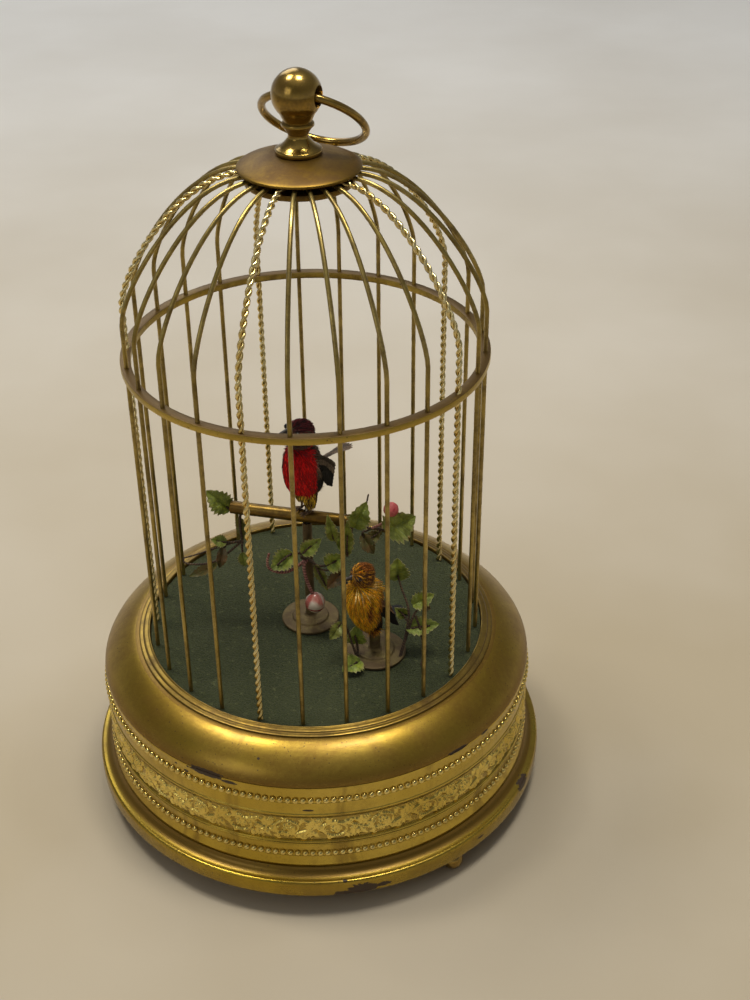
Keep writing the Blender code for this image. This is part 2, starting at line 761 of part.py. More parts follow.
def ring_handle():
    droop = ring_rest_angle()
    centre = Vector((0, 0, BALL_Z))
    along = Vector((cos(RING_AZIMUTH), -sin(RING_AZIMUTH), 0))
    back = Vector((sin(RING_AZIMUTH), cos(RING_AZIMUTH), 0))
    down = back * cos(droop) - Vector((0, 0, 1)) * sin(droop)
    angles = [tau * i / RING_STEPS for i in range(RING_STEPS)]
    path = [centre + RING_RADIUS * (down + along * cos(a) + down * sin(a)) for a in angles]
    sizes = [(RING_WIRE, RING_WIRE)] * RING_STEPS
    ring = swept(path, sizes, along.cross(down), WIRE_SIDES, closed=True)
    place(ring, "ring_handle", brass(), centre)


# Perch and stand


def perch():
    along = Vector((cos(PERCH_ANGLE), sin(PERCH_ANGLE), 0))
    middle = Vector((*POST_PLACE, PERCH_Z)) - along * PERCH_SHIFT
    inner = PERCH_RADIUS - PERCH_WALL
    half = PERCH_LENGTH / 2
    profile = [(inner, -half), (PERCH_RADIUS, -half), (PERCH_RADIUS, half), (inner, half)]
    turn = Matrix.Translation(middle) @ along.to_track_quat("Z", "Y").to_matrix().to_4x4()
    body = place(moved(turned(profile, 10), turn), "perch", brass(), middle)
    hole = post(POST_PLACE, ROD_BORE, PERCH_Z - 2 * PERCH_RADIUS, PERCH_Z + 2 * PERCH_RADIUS)
    boolean(body, "DIFFERENCE", helper(hole, "perch_rod_hole"))


def hollow_stand(name, spot, disc, radius, height, finish):
    low = FLOOR_TOP + GAP
    profile = [
        (ROD_BORE, low),
        (disc, low),
        (disc, low + DISC_THICKNESS),
        (disc * DISC_STEP_SHARE, low + DISC_THICKNESS),
        (disc * DISC_STEP_SHARE, low + DISC_THICKNESS + DISC_STEP),
        (radius, low + DISC_THICKNESS + DISC_STEP),
        (radius, low + height),
        (ROD_BORE, low + height),
    ]
    return place(turned(profile, SMALL_STEPS, spot), name, finish)


# Birds


def bird(prefix, spot, toes, height, heading, lean, beak, tail_height, tail_slope, colours):
    """A small upright bird. Its shape is drawn as shares of its height, with +X as its front."""
    stand = Matrix.Translation((*spot, toes)) @ Matrix.Rotation(heading, 4, "Z") @ Matrix.Scale(height, 4)
    local = stand @ Matrix.Translation((lean, 0, 0))

    def ringed(sections, sides=8):
        rings = []
        for z, front, half_length, half_width in sections:
            rings.append(
                [
                    Vector((front + half_length * cos(tau * k / sides), half_width * sin(tau * k / sides), z))
                    for k in range(sides)
                ]
            )
        return moved(lofted(rings), local)

    def pointed(points, sizes, sides=4):
        path = [Vector(point) for point in points]
        return moved(swept(path, sizes, Vector((0, 1, 0)), sides), local)

    gap = GAP / height
    neck = 0.740
    trunk = [
        (0.10, -0.01 - lean / 2, 0.070 + lean / 3, 0.075),
        (0.18, 0.00 - lean / 3, 0.145 + lean / 4, 0.140),
        (0.35, 0.01, 0.200, 0.180),
        (0.53, 0.02, 0.205, 0.185),
        (0.66, 0.03, 0.165, 0.155),
        (neck, 0.035, 0.125, 0.120),
    ]
    body = place(ringed(trunk), prefix + "_body", colours[0], stand @ Vector((0, 0, 0)))
    extras = []
    for side in (-1, 1):
        leg_x, leg_y = 0.02 - lean, 0.062 * side
        extras.append(pointed([(leg_x, leg_y, gap), (leg_x, leg_y, 0.17)], [(0.017, 0.017)] * 2))
        wing = [(0.05, 0.17 * side, 0.62), (-0.03, 0.19 * side, 0.46), (-0.15, 0.12 * side, 0.24)]
        extras.append(pointed(wing, [(0.030, 0.10), (0.034, 0.12), (0.016, 0.03)], 6))
    boolean(body, "UNION", helper(merged(*extras), prefix + "_wings_and_legs"))
    well = post(spot, ROD_BORE, toes, toes + 0.40 * height)
    boolean(body, "DIFFERENCE", helper(well, prefix + "_rod_well"))

    head_sections = [
        (neck + gap, 0.035, 0.125, 0.120),
        (0.82, 0.045, 0.155, 0.150),
        (0.91, 0.040, 0.145, 0.140),
        (0.97, 0.030, 0.090, 0.090),
        (1.00, 0.025, 0.035, 0.035),
    ]
    pivot = local @ Vector((0.035, 0, neck))
    head = place(ringed(head_sections), prefix + "_head", colours[1], pivot)
    beak_height, droop = beak
    crest = [(0.12, 0, beak_height), (0.25, 0, beak_height - droop / 5), (0.36, 0, beak_height - droop)]
    upper = pointed(crest, [(0.050, 0.032), (0.030, 0.020), (0.004, 0.004)])
    boolean(head, "UNION", helper(upper, prefix + "_upper_beak"))

    jaw_x, jaw_z = 0.235, beak_height - 0.05
    jaw = pointed([(jaw_x, 0, jaw_z), (0.335, 0, jaw_z - 0.008)], [(0.024, 0.012), (0.004, 0.003)])
    place(jaw, prefix + "_beak", colours[3], local @ Vector((jaw_x, 0, jaw_z)))

    tail_x = -0.215
    run = Vector((-cos(tail_slope), 0, sin(tail_slope)))
    root = Vector((tail_x, 0, tail_height)) + run * 2 * gap
    feathers = [root, root + run * 0.3 * TAIL_LENGTH, root + run * TAIL_LENGTH]
    tail = pointed(feathers, [(0.045, 0.014), (0.060, 0.014), (0.095, 0.008)])
    place(tail, prefix + "_tail", colours[2], local @ root)


def birds():
    crimson = material("red_feathers", (0.45, 0.02, 0.02), 0.0, 0.8)
    maroon = material("maroon_feathers", (0.12, 0.02, 0.02), 0.0, 0.8)
    brown = material("brown_feathers", (0.14, 0.10, 0.06), 0.0, 0.8)
    black = material("black_feathers", (0.02, 0.02, 0.02), 0.0, 0.8)
    yellow = material("yellow_feathers", (0.55, 0.26, 0.03), 0.0, 0.8)
    horn = material("horn", (0.05, 0.04, 0.03), 0.0, 0.5)
    toes = PERCH_Z + PERCH_RADIUS
    colours = (crimson, maroon, brown, horn)
    bird("red_bird", POST_PLACE, toes, RED_HEIGHT, RED_HEADING, 0.0, RED_BEAK, RED_TAIL_HEIGHT, radians(6), colours)
    toes = FLOOR_TOP + GAP + STAND_HEIGHT
    colours = (yellow, yellow, black, horn)
    pose = (YELLOW_HEIGHT, YELLOW_HEADING, YELLOW_LEAN, YELLOW_BEAK, YELLOW_TAIL_HEIGHT, radians(-14))
    bird("yellow_bird", STAND_PLACE, toes, *pose, colours)


# Foliage


def stalk(base, bend, tip, leaf):
    """A wire stalk that widens into one pointed leaf at its tip."""
    base, bend, tip = Vector(base), Vector(bend), Vector(tip)
    length, width = leaf
    run = (tip - bend).normalized()
    start = tip - run * length
    middle = tip - run * length * 0.55
    path = [base, bend, start, middle, tip]
    thin = STALK_RADIUS
    sizes = [(thin, thin), (thin, thin), (thin, thin), (width / 2, 0.8 * thin), (thin, 0.6 * thin)]
    side = run.cross(Vector((0, 0, 1)))
    side = side if side.length > 0.1 else Vector((1, 0, 0))
    return swept(path, sizes, side.normalized(), 4)


def sprig(name, stalks):
    first, *rest = stalks
    body = place(stalk(*first), name, leaf_green(), smooth=False)
    for number, values in enumerate(rest):
        boolean(body, "UNION", helper(stalk(*values), f"{name}_stalk_{number}"))
    return body


def globe(centre, radius, stretch=1.0):
    profile = [(0, -radius * stretch)]
    profile += [(radius * cos(a), radius * stretch * sin(a)) for a in (-pi / 4, 0, pi / 4)]
    profile.append((0, radius * stretch))
    return moved(turned(profile, 8), Matrix.Translation(centre))


def shifted(start, x, y, z):
    return start + Vector((x, y, z)) * SPRIG_UNIT


def sprays(start, stalks):
    """Stalks whose places are steps from where they start. Each is its foot, a bend, its tip and the leaf's size."""
    return [
        (
            shifted(start, *foot),
            shifted(start, *bend),
            shifted(start, *tip),
            (leaf_length * SPRIG_UNIT, leaf_width * SPRIG_UNIT),
        )
        for foot, bend, tip, (leaf_length, leaf_width) in stalks
    ]


def foliage():
    along = Vector((cos(PERCH_ANGLE), sin(PERCH_ANGLE), 0))
    middle = Vector((*POST_PLACE, PERCH_Z)) - along * PERCH_SHIFT
    clear = PERCH_LENGTH / 2 + GAP + STALK_RADIUS
    left, right = middle - along * clear, middle + along * clear
    knot = (4.3, -2.0, -13.8)
    sprig(
        "left_sprig",
        sprays(
            left,
            [
                ((0, 0, 0), (-2.2, 0.4, -1.2), (-7.7, 1.8, 5.6), (8.0, 8.5)),
                ((0, 0, 0), (-0.1, 0.0, -5.0), knot, (8.5, 4.6)),
                (knot, (-0.7, -2.7, -13.5), (-7.1, -3.2, -12.5), (5.2, 4.6)),
                (knot, (-2.5, -3.2, -14.8), (-17.5, -4.2, -19.8), (10.5, 3.0)),
                (knot, (-2.5, -4.7, -18.5), (-15.5, -6.2, -26.7), (12.5, 4.0)),
                (knot, (4.3, -3.2, -17.0), (5.0, -5.2, -22.5), (4.6, 4.2)),
            ],
        ),
    )
    fork, berry_step = (6.7, -2.7, -1.2), (13.3, -4.7, 8.1)
    body = sprig(
        "right_sprig",
        sprays(
            right,
            [
                ((0, 0, 0), (3.5, -1.2, -0.6), fork, (3.0, 1.2)),
                ((0, 0, 0), (3.0, -1.6, -1.2), (4.5, -1.9, 9.4), (9.8, 7.8)),
                (fork, (10.2, -3.9, -1.2), (22.2, -5.2, 4.0), (11.2, 12.5)),
                (fork, (10.2, -3.7, 2.0), berry_step, (3.0, 1.2)),
                ((0, 0, 0), (0.7, -4.2, -1.5), (-5.1, -4.5, -8.0), (5.6, 6.0)),
            ],
        ),
    )
    boolean(body, "UNION", helper(globe(shifted(right, *berry_step), BERRY_RADIUS), "berry"))
    tie = Vector((POST_PLACE.x, POST_PLACE.y - POST_RADIUS - GAP - STALK_RADIUS, FLOOR_TOP + TIE_HEIGHT))
    bud_step = (2.3, -5.4, -15.8)
    body = sprig(
        "bud_sprig",
        sprays(
            tie,
            [
                ((0, 0, 0), (-2.0, -3.7, -1.5), bud_step, (5.0, 2.6)),
                ((0, 0, 0), (-3.2, -2.2, 4.5), (-13.2, -5.2, -1.2), (9.8, 7.8)),
                ((0, 0, 0), (-2.4, -3.4, 2.5), (5.2, -2.8, 10.4), (9.2, 5.8)),
                ((0, 0, 0), (6.0, -5.7, -0.5), (13.8, -8.2, 6.8), (8.5, 7.2)),
                ((0, 0, 0), (2.5, -4.0, 0.5), (7.2, -6.2, -10.0), (8.5, 3.2)),
            ],
        ),
    )
    boolean(body, "UNION", helper(globe(shifted(tie, *bud_step), BUD_RADIUS, 1.05), "bud"))


def stand_leaves(stand):
    """The low leaves, whose wires are set in the small bird's disc."""
    disc = Vector((*STAND_PLACE, FLOOR_TOP + GAP + DISC_THICKNESS / 2))
    right, front = (9.0, -4.5, 0.0), (-6.0, -7.0, 0.0)
    leaves = sprays(
        disc,
        [
            (right, (12.6, 1.0, 18.0), (8.3, 7.0, 35.5), (8.5, 8.0)),
            (right, (12.5, -0.5, 13.0), (21.0, 3.0, 22.3), (9.5, 6.2)),
            (right, (10.8, -1.0, 9.2), (23.0, 0.5, 10.8), (12.0, 5.2)),
            (front, (-6.5, -9.0, 5.0), (-8.0, -3.0, 12.8), (7.8, 5.6)),
            (front, (-7.0, -9.5, 2.2), (-11.0, -13.5, 1.5), (6.6, 5.6)),
        ],
    )
    for number, values in enumerate(leaves):
        boolean(stand, "UNION", helper(stalk(*values), f"stand_leaf_{number}"))


# Movement


def toothed(teeth, pitch_radius, phase, centre):
    module = 2 * pitch_radius / teeth
    outline = []
    for i in range(teeth):
        angle = phase + tau * i / teeth
        for radius, turn in ((pitch_radius + TOOTH_TIP * module, 0), (pitch_radius - TOOTH_ROOT * module, pi / teeth)):
            outline.append((centre[0] + radius * cos(angle + turn), centre[1] + radius * sin(angle + turn)))
    return outline


def meshed_phase(direction, lead_teeth, lead_phase, teeth):
    """Phase of a follower in this direction from its leader, so that its teeth stand in the leader's gaps."""
    lead_share = (direction - lead_phase) * lead_teeth / tau
    return direction + pi - tau / teeth * (0.5 - lead_share)


def beside(place_xy, direction, distance):
    return place_xy + Vector((cos(direction), sin(direction))) * distance


PINION_PITCH = BARREL_PITCH * SECOND_PINION_TEETH / BARREL_TEETH
CAM_PITCH = BARREL_PITCH * CAM_TEETH / BARREL_TEETH
FLY_PITCH = SECOND_WHEEL_PITCH * FLY_PINION_TEETH / SECOND_WHEEL_TEETH
CAM_PLACE = beside(BARREL_PLACE, CAM_DIRECTION, BARREL_PITCH + CAM_PITCH)
SECOND_PLACE = beside(BARREL_PLACE, SECOND_DIRECTION, BARREL_PITCH + PINION_PITCH)
FLY_PLACE = beside(SECOND_PLACE, FLY_DIRECTION, SECOND_WHEEL_PITCH + FLY_PITCH)
ARBOR_LOW = PLATE_TOP + GAP
ARBOR_TOP = PLATE_LEVEL - GAP
WHEEL_TOP = GREAT_WHEEL_LEVEL + WHEEL_THICKNESS
CAM_TOP = WHEEL_TOP + CAM_STACK
PILLARS = ((0.0455, 0.0340), (-0.0545, -0.0170), (0.0, -0.0570))
ROD_LOW = PLATE_LEVEL + MOVEMENT_PLATE + LEVER_GAP + FOLLOWER_THICKNESS + GAP


def movement_plate():
    top = PLATE_LEVEL + MOVEMENT_PLATE
    holes = [circle(0.0030, 8, follower_foot(spot)) for spot in (POST_PLACE, STAND_PLACE)]
    body = place(plate(circle(PLATE_RADIUS, 24), PLATE_LEVEL, top, holes), "movement_plate", dark_brass())
    stands = [post(spot, PILLAR_RADIUS, PLATE_TOP + GAP, FLOOR_Z - GAP) for spot in PILLARS]
    for spot in (POST_PLACE, STAND_PLACE):
        fulcrum = (spot + follower_foot(spot)) / 2
        stands.append(post(fulcrum, LEVER_HALF_WIDTH, PLATE_LEVEL + MOVEMENT_PLATE / 2, top + LEVER_GAP - GAP))
    boolean(body, "UNION", helper(merged(*stands), "pillars_and_fulcrums"))


def barrel():
    bore = WINDING_RADIUS + GAP
    top = GREAT_WHEEL_LEVEL + WHEEL_THICKNESS + BARREL_HEIGHT
    profile = [(bore, GREAT_WHEEL_LEVEL - 0.001), (BARREL_DRUM, GREAT_WHEEL_LEVEL - 0.001), (BARREL_DRUM, top), (bore, top)]
    body = place(turned(profile, 20, BARREL_PLACE), "spring_barrel", brass(), (*BARREL_PLACE, 0))
    wheel = toothed(BARREL_TEETH, BARREL_PITCH, SECOND_DIRECTION, BARREL_PLACE)
    hole = circle(0.6 * BARREL_DRUM, 8, BARREL_PLACE)
    wheel = plate(wheel, GREAT_WHEEL_LEVEL, WHEEL_TOP, [hole])
    boolean(body, "UNION", helper(wheel, "great_wheel"))


def winding_arbor():
    x, y = BARREL_PLACE
    low = PLATE_Z - 0.0015
    square_low = low - 0.0035
    profile = [(0, square_low), (ARBOR_RADIUS, square_low), (ARBOR_RADIUS, low), (WINDING_RADIUS, low)]
    profile += [(WINDING_RADIUS, ARBOR_TOP), (0, ARBOR_TOP)]
    body = place(turned(profile, 8, BARREL_PLACE), "winding_arbor", steel(), (x, y, 0))
    outline = []
    for i in range(RATCHET_TEETH):
        a = tau * i / RATCHET_TEETH
        outline.append((x + RATCHET_RADIUS * cos(a), y + RATCHET_RADIUS * sin(a)))
        inner = RATCHET_RADIUS - RATCHET_DEPTH
        gullet = a + tau / RATCHET_TEETH - 0.05
        outline.append((x + inner * cos(gullet), y + inner * sin(gullet)))
    level = SECOND_LEVEL + 0.0008
    boolean(body, "UNION", helper(plate(outline, level, level + 0.0014), "ratchet_wheel"))


def click():
    x, y = BARREL_PLACE
    level = SECOND_LEVEL + 0.0008
    pivot = Vector((x - 0.0030, y + RATCHET_RADIUS + 0.0060))
    nose = Vector((x + 0.0010, y + RATCHET_RADIUS + GAP))
    run = (nose - pivot).normalized()
    across = Vector((-run.y, run.x)) * 0.0012
    outline = [pivot - across - run * 0.001, pivot + across - run * 0.001, nose + across * 0.3, nose - across * 0.3]
    body = place(plate(outline, level, level + 0.0014), "click", steel(), (*pivot, level))
    boolean(body, "UNION", helper(post(pivot, 0.0007, level + 0.0005, ARBOR_TOP), "click_stud"))


def winding_key():
    top = PLATE_Z - 0.0015 - GAP
    bore = ARBOR_RADIUS + GAP
    shelf = top - 0.0038
    stem_low = KEY_CLEARANCE + 0.0045
    profile = [(0, stem_low), (KEY_STEM, stem_low), (KEY_STEM, top), (bore, top), (bore, shelf), (0, shelf)]
    x, y = BARREL_PLACE
    body = place(turned(profile, 8, BARREL_PLACE), "winding_key", brass(), (x, y, 0))
    half = 0.0011
    wing = box((x - KEY_WING, y - half, KEY_CLEARANCE), (x + KEY_WING, y + half, stem_low + 0.0015))
    boolean(body, "UNION", helper(wing, "key_wing"))


def second_wheel():
    spot = SECOND_PLACE
    phase = meshed_phase(SECOND_DIRECTION, BARREL_TEETH, SECOND_DIRECTION, SECOND_PINION_TEETH)
    pinion = toothed(SECOND_PINION_TEETH, PINION_PITCH, phase, spot)
    body = plate(pinion, GREAT_WHEEL_LEVEL - 0.0003, WHEEL_TOP + 0.0003)
    body = place(body, "second_wheel", brass(), (*spot, 0))
    wheel = toothed(SECOND_WHEEL_TEETH, SECOND_WHEEL_PITCH, FLY_DIRECTION, spot)
    boolean(body, "UNION", helper(post(spot, ARBOR_RADIUS, ARBOR_LOW, ARBOR_TOP), "second_arbor"))
    boolean(body, "UNION", helper(plate(wheel, SECOND_LEVEL, SECOND_LEVEL + 0.0015), "second_wheel_teeth"))


def cam_wheel():
    spot = CAM_PLACE
    phase = meshed_phase(CAM_DIRECTION, BARREL_TEETH, SECOND_DIRECTION, CAM_TEETH)
    wheel = toothed(CAM_TEETH, CAM_PITCH, phase, spot)
    body = place(plate(wheel, GREAT_WHEEL_LEVEL, WHEEL_TOP), "cam_wheel", brass(), (*spot, 0))
    boolean(body, "UNION", helper(post(spot, ARBOR_RADIUS, ARBOR_LOW, ARBOR_TOP), "cam_arbor"))
    outline = []
    for i in range(20):
        a = tau * i / 20
        radius = CAM_RADIUS + CAM_LIFT * sin(5 * a)
        outline.append((spot.x + radius * cos(a), spot.y + radius * sin(a)))
    boolean(body, "UNION", helper(plate(outline, WHEEL_TOP - 0.0005, CAM_TOP), "cams"))


def fly_governor():
    spot = FLY_PLACE
    phase = meshed_phase(FLY_DIRECTION, SECOND_WHEEL_TEETH, FLY_DIRECTION, FLY_PINION_TEETH)
    pinion = toothed(FLY_PINION_TEETH, FLY_PITCH, phase, spot)
    body = place(plate(pinion, SECOND_LEVEL - 0.0003, SECOND_LEVEL + 0.0018), "fly_governor", brass(), (*spot, 0))
    boolean(body, "UNION", helper(post(spot, 0.0010, ARBOR_LOW, ARBOR_TOP), "fly_arbor"))
    low = WHEEL_TOP + 0.002
    half = 0.0004
    vanes = box((spot.x - FLY_VANE, spot.y - half, low), (spot.x + FLY_VANE, spot.y + half, low + FLY_VANE_HEIGHT))
    boolean(body, "UNION", helper(vanes, "fly_vanes"))


def bellows():
    half = BELLOWS_SIZE / 2
    low, high = BELLOWS_CENTRE - half, BELLOWS_CENTRE + half
    z = ARBOR_LOW
    levels = [(z, 0), (z + BELLOWS_BOARD, 0)]
    fold = BELLOWS_FOLD / 4
    for i in range(1, 4):
        levels.append((z + BELLOWS_BOARD + fold * i, 0.0018 if i % 2 else 0))
    levels.append((z + BELLOWS_BOARD + BELLOWS_FOLD, 0))
    rings = []
    for level, inset in levels:
        rings.append(
            [
                Vector((low.x + inset, low.y + inset, level)),
                Vector((high.x - inset, low.y + inset, level)),
                Vector((high.x - inset, high.y - inset, level)),
                Vector((low.x + inset, high.y - inset, level)),
            ]
        )
    place(lofted(rings), "bellows_chest", material("kid_leather", (0.45, 0.36, 0.24), 0, 0.8), smooth=False)
    board_low = levels[-1][0] + GAP
    board = box((low.x, low.y, board_low), (high.x, high.y, board_low + BELLOWS_BOARD))
    wood = material("pear_wood", (0.30, 0.16, 0.07), 0, 0.6)
    place(board, "bellows_board", wood, (BELLOWS_CENTRE.x, high.y, board_low), smooth=False)


def whistle():
    half = WHISTLE_LENGTH / 2
    profile = [
        (0, half),
        (WHISTLE_RADIUS, half),
        (WHISTLE_RADIUS, -half),
        (WHISTLE_BORE, -half),
        (WHISTLE_BORE, half - 0.002),
        (0, half - 0.002),
    ]
    centre = Vector((0, WHISTLE_Y, WHISTLE_LEVEL))
    turn = Matrix.Translation(centre) @ Matrix.Rotation(pi / 2, 4, "Y")
    tube = place(moved(turned(profile, 8), turn), "whistle_tube", brass(), centre)
    bracket = post((0, WHISTLE_Y), PILLAR_RADIUS, WHISTLE_LEVEL + (WHISTLE_BORE + WHISTLE_RADIUS) / 2, ARBOR_TOP)
    boolean(tube, "UNION", helper(bracket, "whistle_bracket"))
    mouth = box(
        (half - 0.010, WHISTLE_Y - WHISTLE_RADIUS * 1.2, WHISTLE_LEVEL + 0.0005),
        (half - 0.006, WHISTLE_Y - WHISTLE_BORE * 0.5, WHISTLE_LEVEL + WHISTLE_RADIUS * 1.2),
    )
    boolean(tube, "DIFFERENCE", helper(mouth, "whistle_mouth"))
    head = WHISTLE_BORE - 2 * GAP
    piston = [
        (0, -half - PISTON_REACH),
        (PISTON_ROD, -half - PISTON_REACH),
        (PISTON_ROD, -half + 0.003),
        (head, -half + 0.003),
        (head, -half + 0.008),
        (0, -half + 0.008),
    ]
    place(moved(turned(piston, 8), turn), "whistle_piston", steel(), centre)


def follower_foot(spot):
    """Where a lever's pin stands on the cams: on the line from the bird's rod to the cam arbor."""
    return spot.lerp(CAM_PLACE, 1 - 0.7 * CAM_RADIUS / (CAM_PLACE - spot).length)


def follower_lever(name, spot):
    """A rocking lever over the movement plate, with a pin down to the cams."""
    foot = follower_foot(spot)
    run = (foot - spot).normalized()
    across = Vector((-run.y, run.x)) * LEVER_HALF_WIDTH
    low = PLATE_LEVEL + MOVEMENT_PLATE + LEVER_GAP
    top = low + FOLLOWER_THICKNESS
    start, end = spot - run * 0.0015, foot + run * 0.0012
    outline = [start - across, end - across, end + across, start + across]
    pivot = (spot + foot) / 2
    body = place(plate(outline, low, top), name, steel(), (*pivot, (low + top) / 2), smooth=False)
    boolean(body, "UNION", helper(post(foot, 0.0007, CAM_TOP + GAP, low + 0.0008), name + "_pin"))


def push_rod(name, spot, top):
    place(post(spot, ROD_RADIUS, ROD_LOW, top), name, steel(), (*spot, ROD_LOW))


def start_lever():
    low = LEVER_LEVEL
    high = low + LEVER_THICKNESS
    half = LEVER_WIDTH / 2
    outline = [(-half, LEVER_PIVOT_Y), (half, LEVER_PIVOT_Y), (0.6 * half, LEVER_TIP_Y), (-0.6 * half, LEVER_TIP_Y)]
    arm = place(plate(outline[::-1], low, high), "start_lever", steel(), (0, LEVER_PIVOT_Y, low), smooth=False)
    hub = [(0, low), (0.0030, low), (0.0030, PLATE_Z - GAP), (ARBOR_RADIUS + GAP, PLATE_Z - GAP)]
    hub += [(ARBOR_RADIUS + GAP, PLATE_TOP + 0.004), (0, PLATE_TOP + 0.004)]
    boolean(arm, "UNION", helper(turned(hub, 8, (0, LEVER_PIVOT_Y)), "start_lever_hub"))


def movement():
    movement_plate()
    barrel()
    winding_arbor()
    winding_key()
    click()
    second_wheel()
    cam_wheel()
    fly_governor()
    bellows()
    whistle()
    follower_lever("red_lever", POST_PLACE)
    follower_lever("yellow_lever", STAND_PLACE)
    push_rod("red_rod", POST_PLACE, PERCH_Z + PERCH_RADIUS + 0.34 * RED_HEIGHT)
    push_rod("yellow_rod", STAND_PLACE, FLOOR_TOP + STAND_HEIGHT + 0.30 * YELLOW_HEIGHT)
    start_lever()


def print_joint_places():
    """Prints the places and directions that the record's joints use."""
    for name, spot, toes, height, heading, lean, tail_height in (
        ("red", POST_PLACE, PERCH_Z + PERCH_RADIUS, RED_HEIGHT, RED_HEADING, 0.0, RED_TAIL_HEIGHT),
        ("yellow", STAND_PLACE, FLOOR_TOP + GAP + STAND_HEIGHT, YELLOW_HEIGHT, YELLOW_HEADING, YELLOW_LEAN, YELLOW_TAIL_HEIGHT),
    ):
        ahead = Vector((cos(heading), sin(heading), 0))
        for piece, front, level in (("head", 0.035, 0.740), ("beak", 0.235, 0.815), ("tail", -0.215, tail_height)):
            place_at = Vector((*spot, toes)) + height * (ahead * (front + lean) + Vector((0, 0, level)))
            print(name, piece, [round(value, 6) for value in place_at])
        print(name, "lateral axis", [round(-ahead.y, 6), round(ahead.x, 6), 0])
        foot = follower_foot(spot)
        run = (foot - spot).normalized()
        level = PLATE_LEVEL + MOVEMENT_PLATE + LEVER_GAP + FOLLOWER_THICKNESS / 2
        print(name, "lever", [round(value, 6) for value in (*(spot + foot) / 2, level)], "axis", (run.y, -run.x, 0), (foot - spot).length / 2)
    print("ring", degrees(ring_rest_angle()), BALL_Z, "height", BALL_Z + FINIAL_BALL)
    for name, spot in (("barrel", BARREL_PLACE), ("second", SECOND_PLACE), ("cams", CAM_PLACE), ("fly", FLY_PLACE)):
        print(name, [round(value, 6) for value in spot])


def main():
    clear_scene()
    ball_feet()
    foot_ring()
    bottom_plate()
    embossed_band()
    shoulder()
    floor_rim()
    cage_floor()
    plain_bars()
    twisted_bars()
    cage_hoop()
    cap_disc()
    finial()
    crown_nut()
    ring_handle()
    perch()
    post_height = PERCH_HEIGHT - PERCH_RADIUS - 2 * GAP
    hollow_stand("perch_post", POST_PLACE, POST_DISC, POST_RADIUS, post_height, brass())
    stand = hollow_stand("bird_stand", STAND_PLACE, STAND_DISC, 0.0020, STAND_HEIGHT, dark_brass())
    stand_leaves(stand)
    birds()
    foliage()
    movement()
    print_joint_places()


main()
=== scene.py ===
from math import cos, hypot, pi, radians, sin, tau

import bmesh
import bpy
from mathutils import Matrix, Vector, noise


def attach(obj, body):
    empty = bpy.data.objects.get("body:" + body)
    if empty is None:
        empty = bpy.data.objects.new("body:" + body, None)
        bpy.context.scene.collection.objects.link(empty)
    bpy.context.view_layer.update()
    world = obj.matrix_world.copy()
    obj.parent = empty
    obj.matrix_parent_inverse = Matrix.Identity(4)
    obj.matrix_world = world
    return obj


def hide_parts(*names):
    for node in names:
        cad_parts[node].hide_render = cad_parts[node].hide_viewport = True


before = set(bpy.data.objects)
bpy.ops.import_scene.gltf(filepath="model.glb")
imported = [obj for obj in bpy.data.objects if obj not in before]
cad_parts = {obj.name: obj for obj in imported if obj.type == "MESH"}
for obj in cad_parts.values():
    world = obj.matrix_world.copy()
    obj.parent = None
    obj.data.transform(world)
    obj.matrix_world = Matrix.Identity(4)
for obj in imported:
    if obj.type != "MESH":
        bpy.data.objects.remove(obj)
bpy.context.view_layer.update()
root = "cage_and_base"
up = Vector((0, 0, 1))
mm = 0.001

# Camera, floor and lamps, as they stood for the photograph

cameraLook = {
    "place": (0.0225, -0.4301, 0.3987),
    "pitchDown": radians(33.20),
    "roll": radians(-0.50),
    "focalPixels": 1444,
    "frameHeight": 1000,
    "sensor": 36.0,
}

lampLook = {
    "left": {"place": (-0.33, 0.14, 1.05), "size": 0.22, "power": 4.0, "colour": (1.0, 0.96, 0.88)},
    "right": {"place": (0.15, 0.03, 1.08), "size": 0.22, "power": 4.5, "colour": (1.0, 0.96, 0.88)},
    "front": {"place": (-0.70, -0.80, 0.75), "size": 0.5, "power": 1.0, "colour": (1.0, 0.98, 0.95)},
    "back": {"place": (-0.60, 1.90, 1.50), "size": 1.2, "power": 9.5, "colour": (0.98, 0.99, 1.0)},
}

# Painted light: the floor is darker and warmer near the cage, for the light the brass throws back, and
# brighter far off, where the lamps reach less
floorLook = {
    "near": (0.47, 0.395, 0.275), "far": (0.98, 0.96, 0.92), "from": -0.20, "to": 1.30,
    "corners": [(-4, -3, 0), (4, -3, 0), (4, 6, 0), (-4, 6, 0)],
}

# Light of the room by height: how high the direction looks, and its brightness
roomLook = {
    "colour": (0.98, 0.97, 0.94),
    "stops": ((0.0, 0.44), (0.22, 0.26), (0.45, 0.11), (0.76, 0.15), (0.90, 0.34), (1.0, 0.44)),
}


def linked(name, data):
    made = bpy.data.objects.new(name, data)
    bpy.context.scene.collection.objects.link(made)
    return made


def addCamera():
    data = bpy.data.cameras.new("camera")
    data.lens = cameraLook["focalPixels"] / cameraLook["frameHeight"] * cameraLook["sensor"]
    data.sensor_width = cameraLook["sensor"]
    data.clip_start = 0.01
    camera = linked("camera", data)
    camera.matrix_world = (
        Matrix.Translation(cameraLook["place"])
        @ Matrix.Rotation(pi / 2 - cameraLook["pitchDown"], 4, "X")
        @ Matrix.Rotation(cameraLook["roll"], 4, "Z")
    )
    bpy.context.scene.camera = camera


def addLamps():
    for name, look in lampLook.items():
        data = bpy.data.lights.new(name + "Lamp", "AREA")
        data.energy = look["power"]
        data.size = look["size"]
        data.color = look["colour"]
        lamp = linked(name + "Lamp", data)
        lamp.location = look["place"]
        aim = Vector((0, 0, 0.10)) - lamp.location
        lamp.rotation_euler = aim.to_track_quat("-Z", "Y").to_euler()


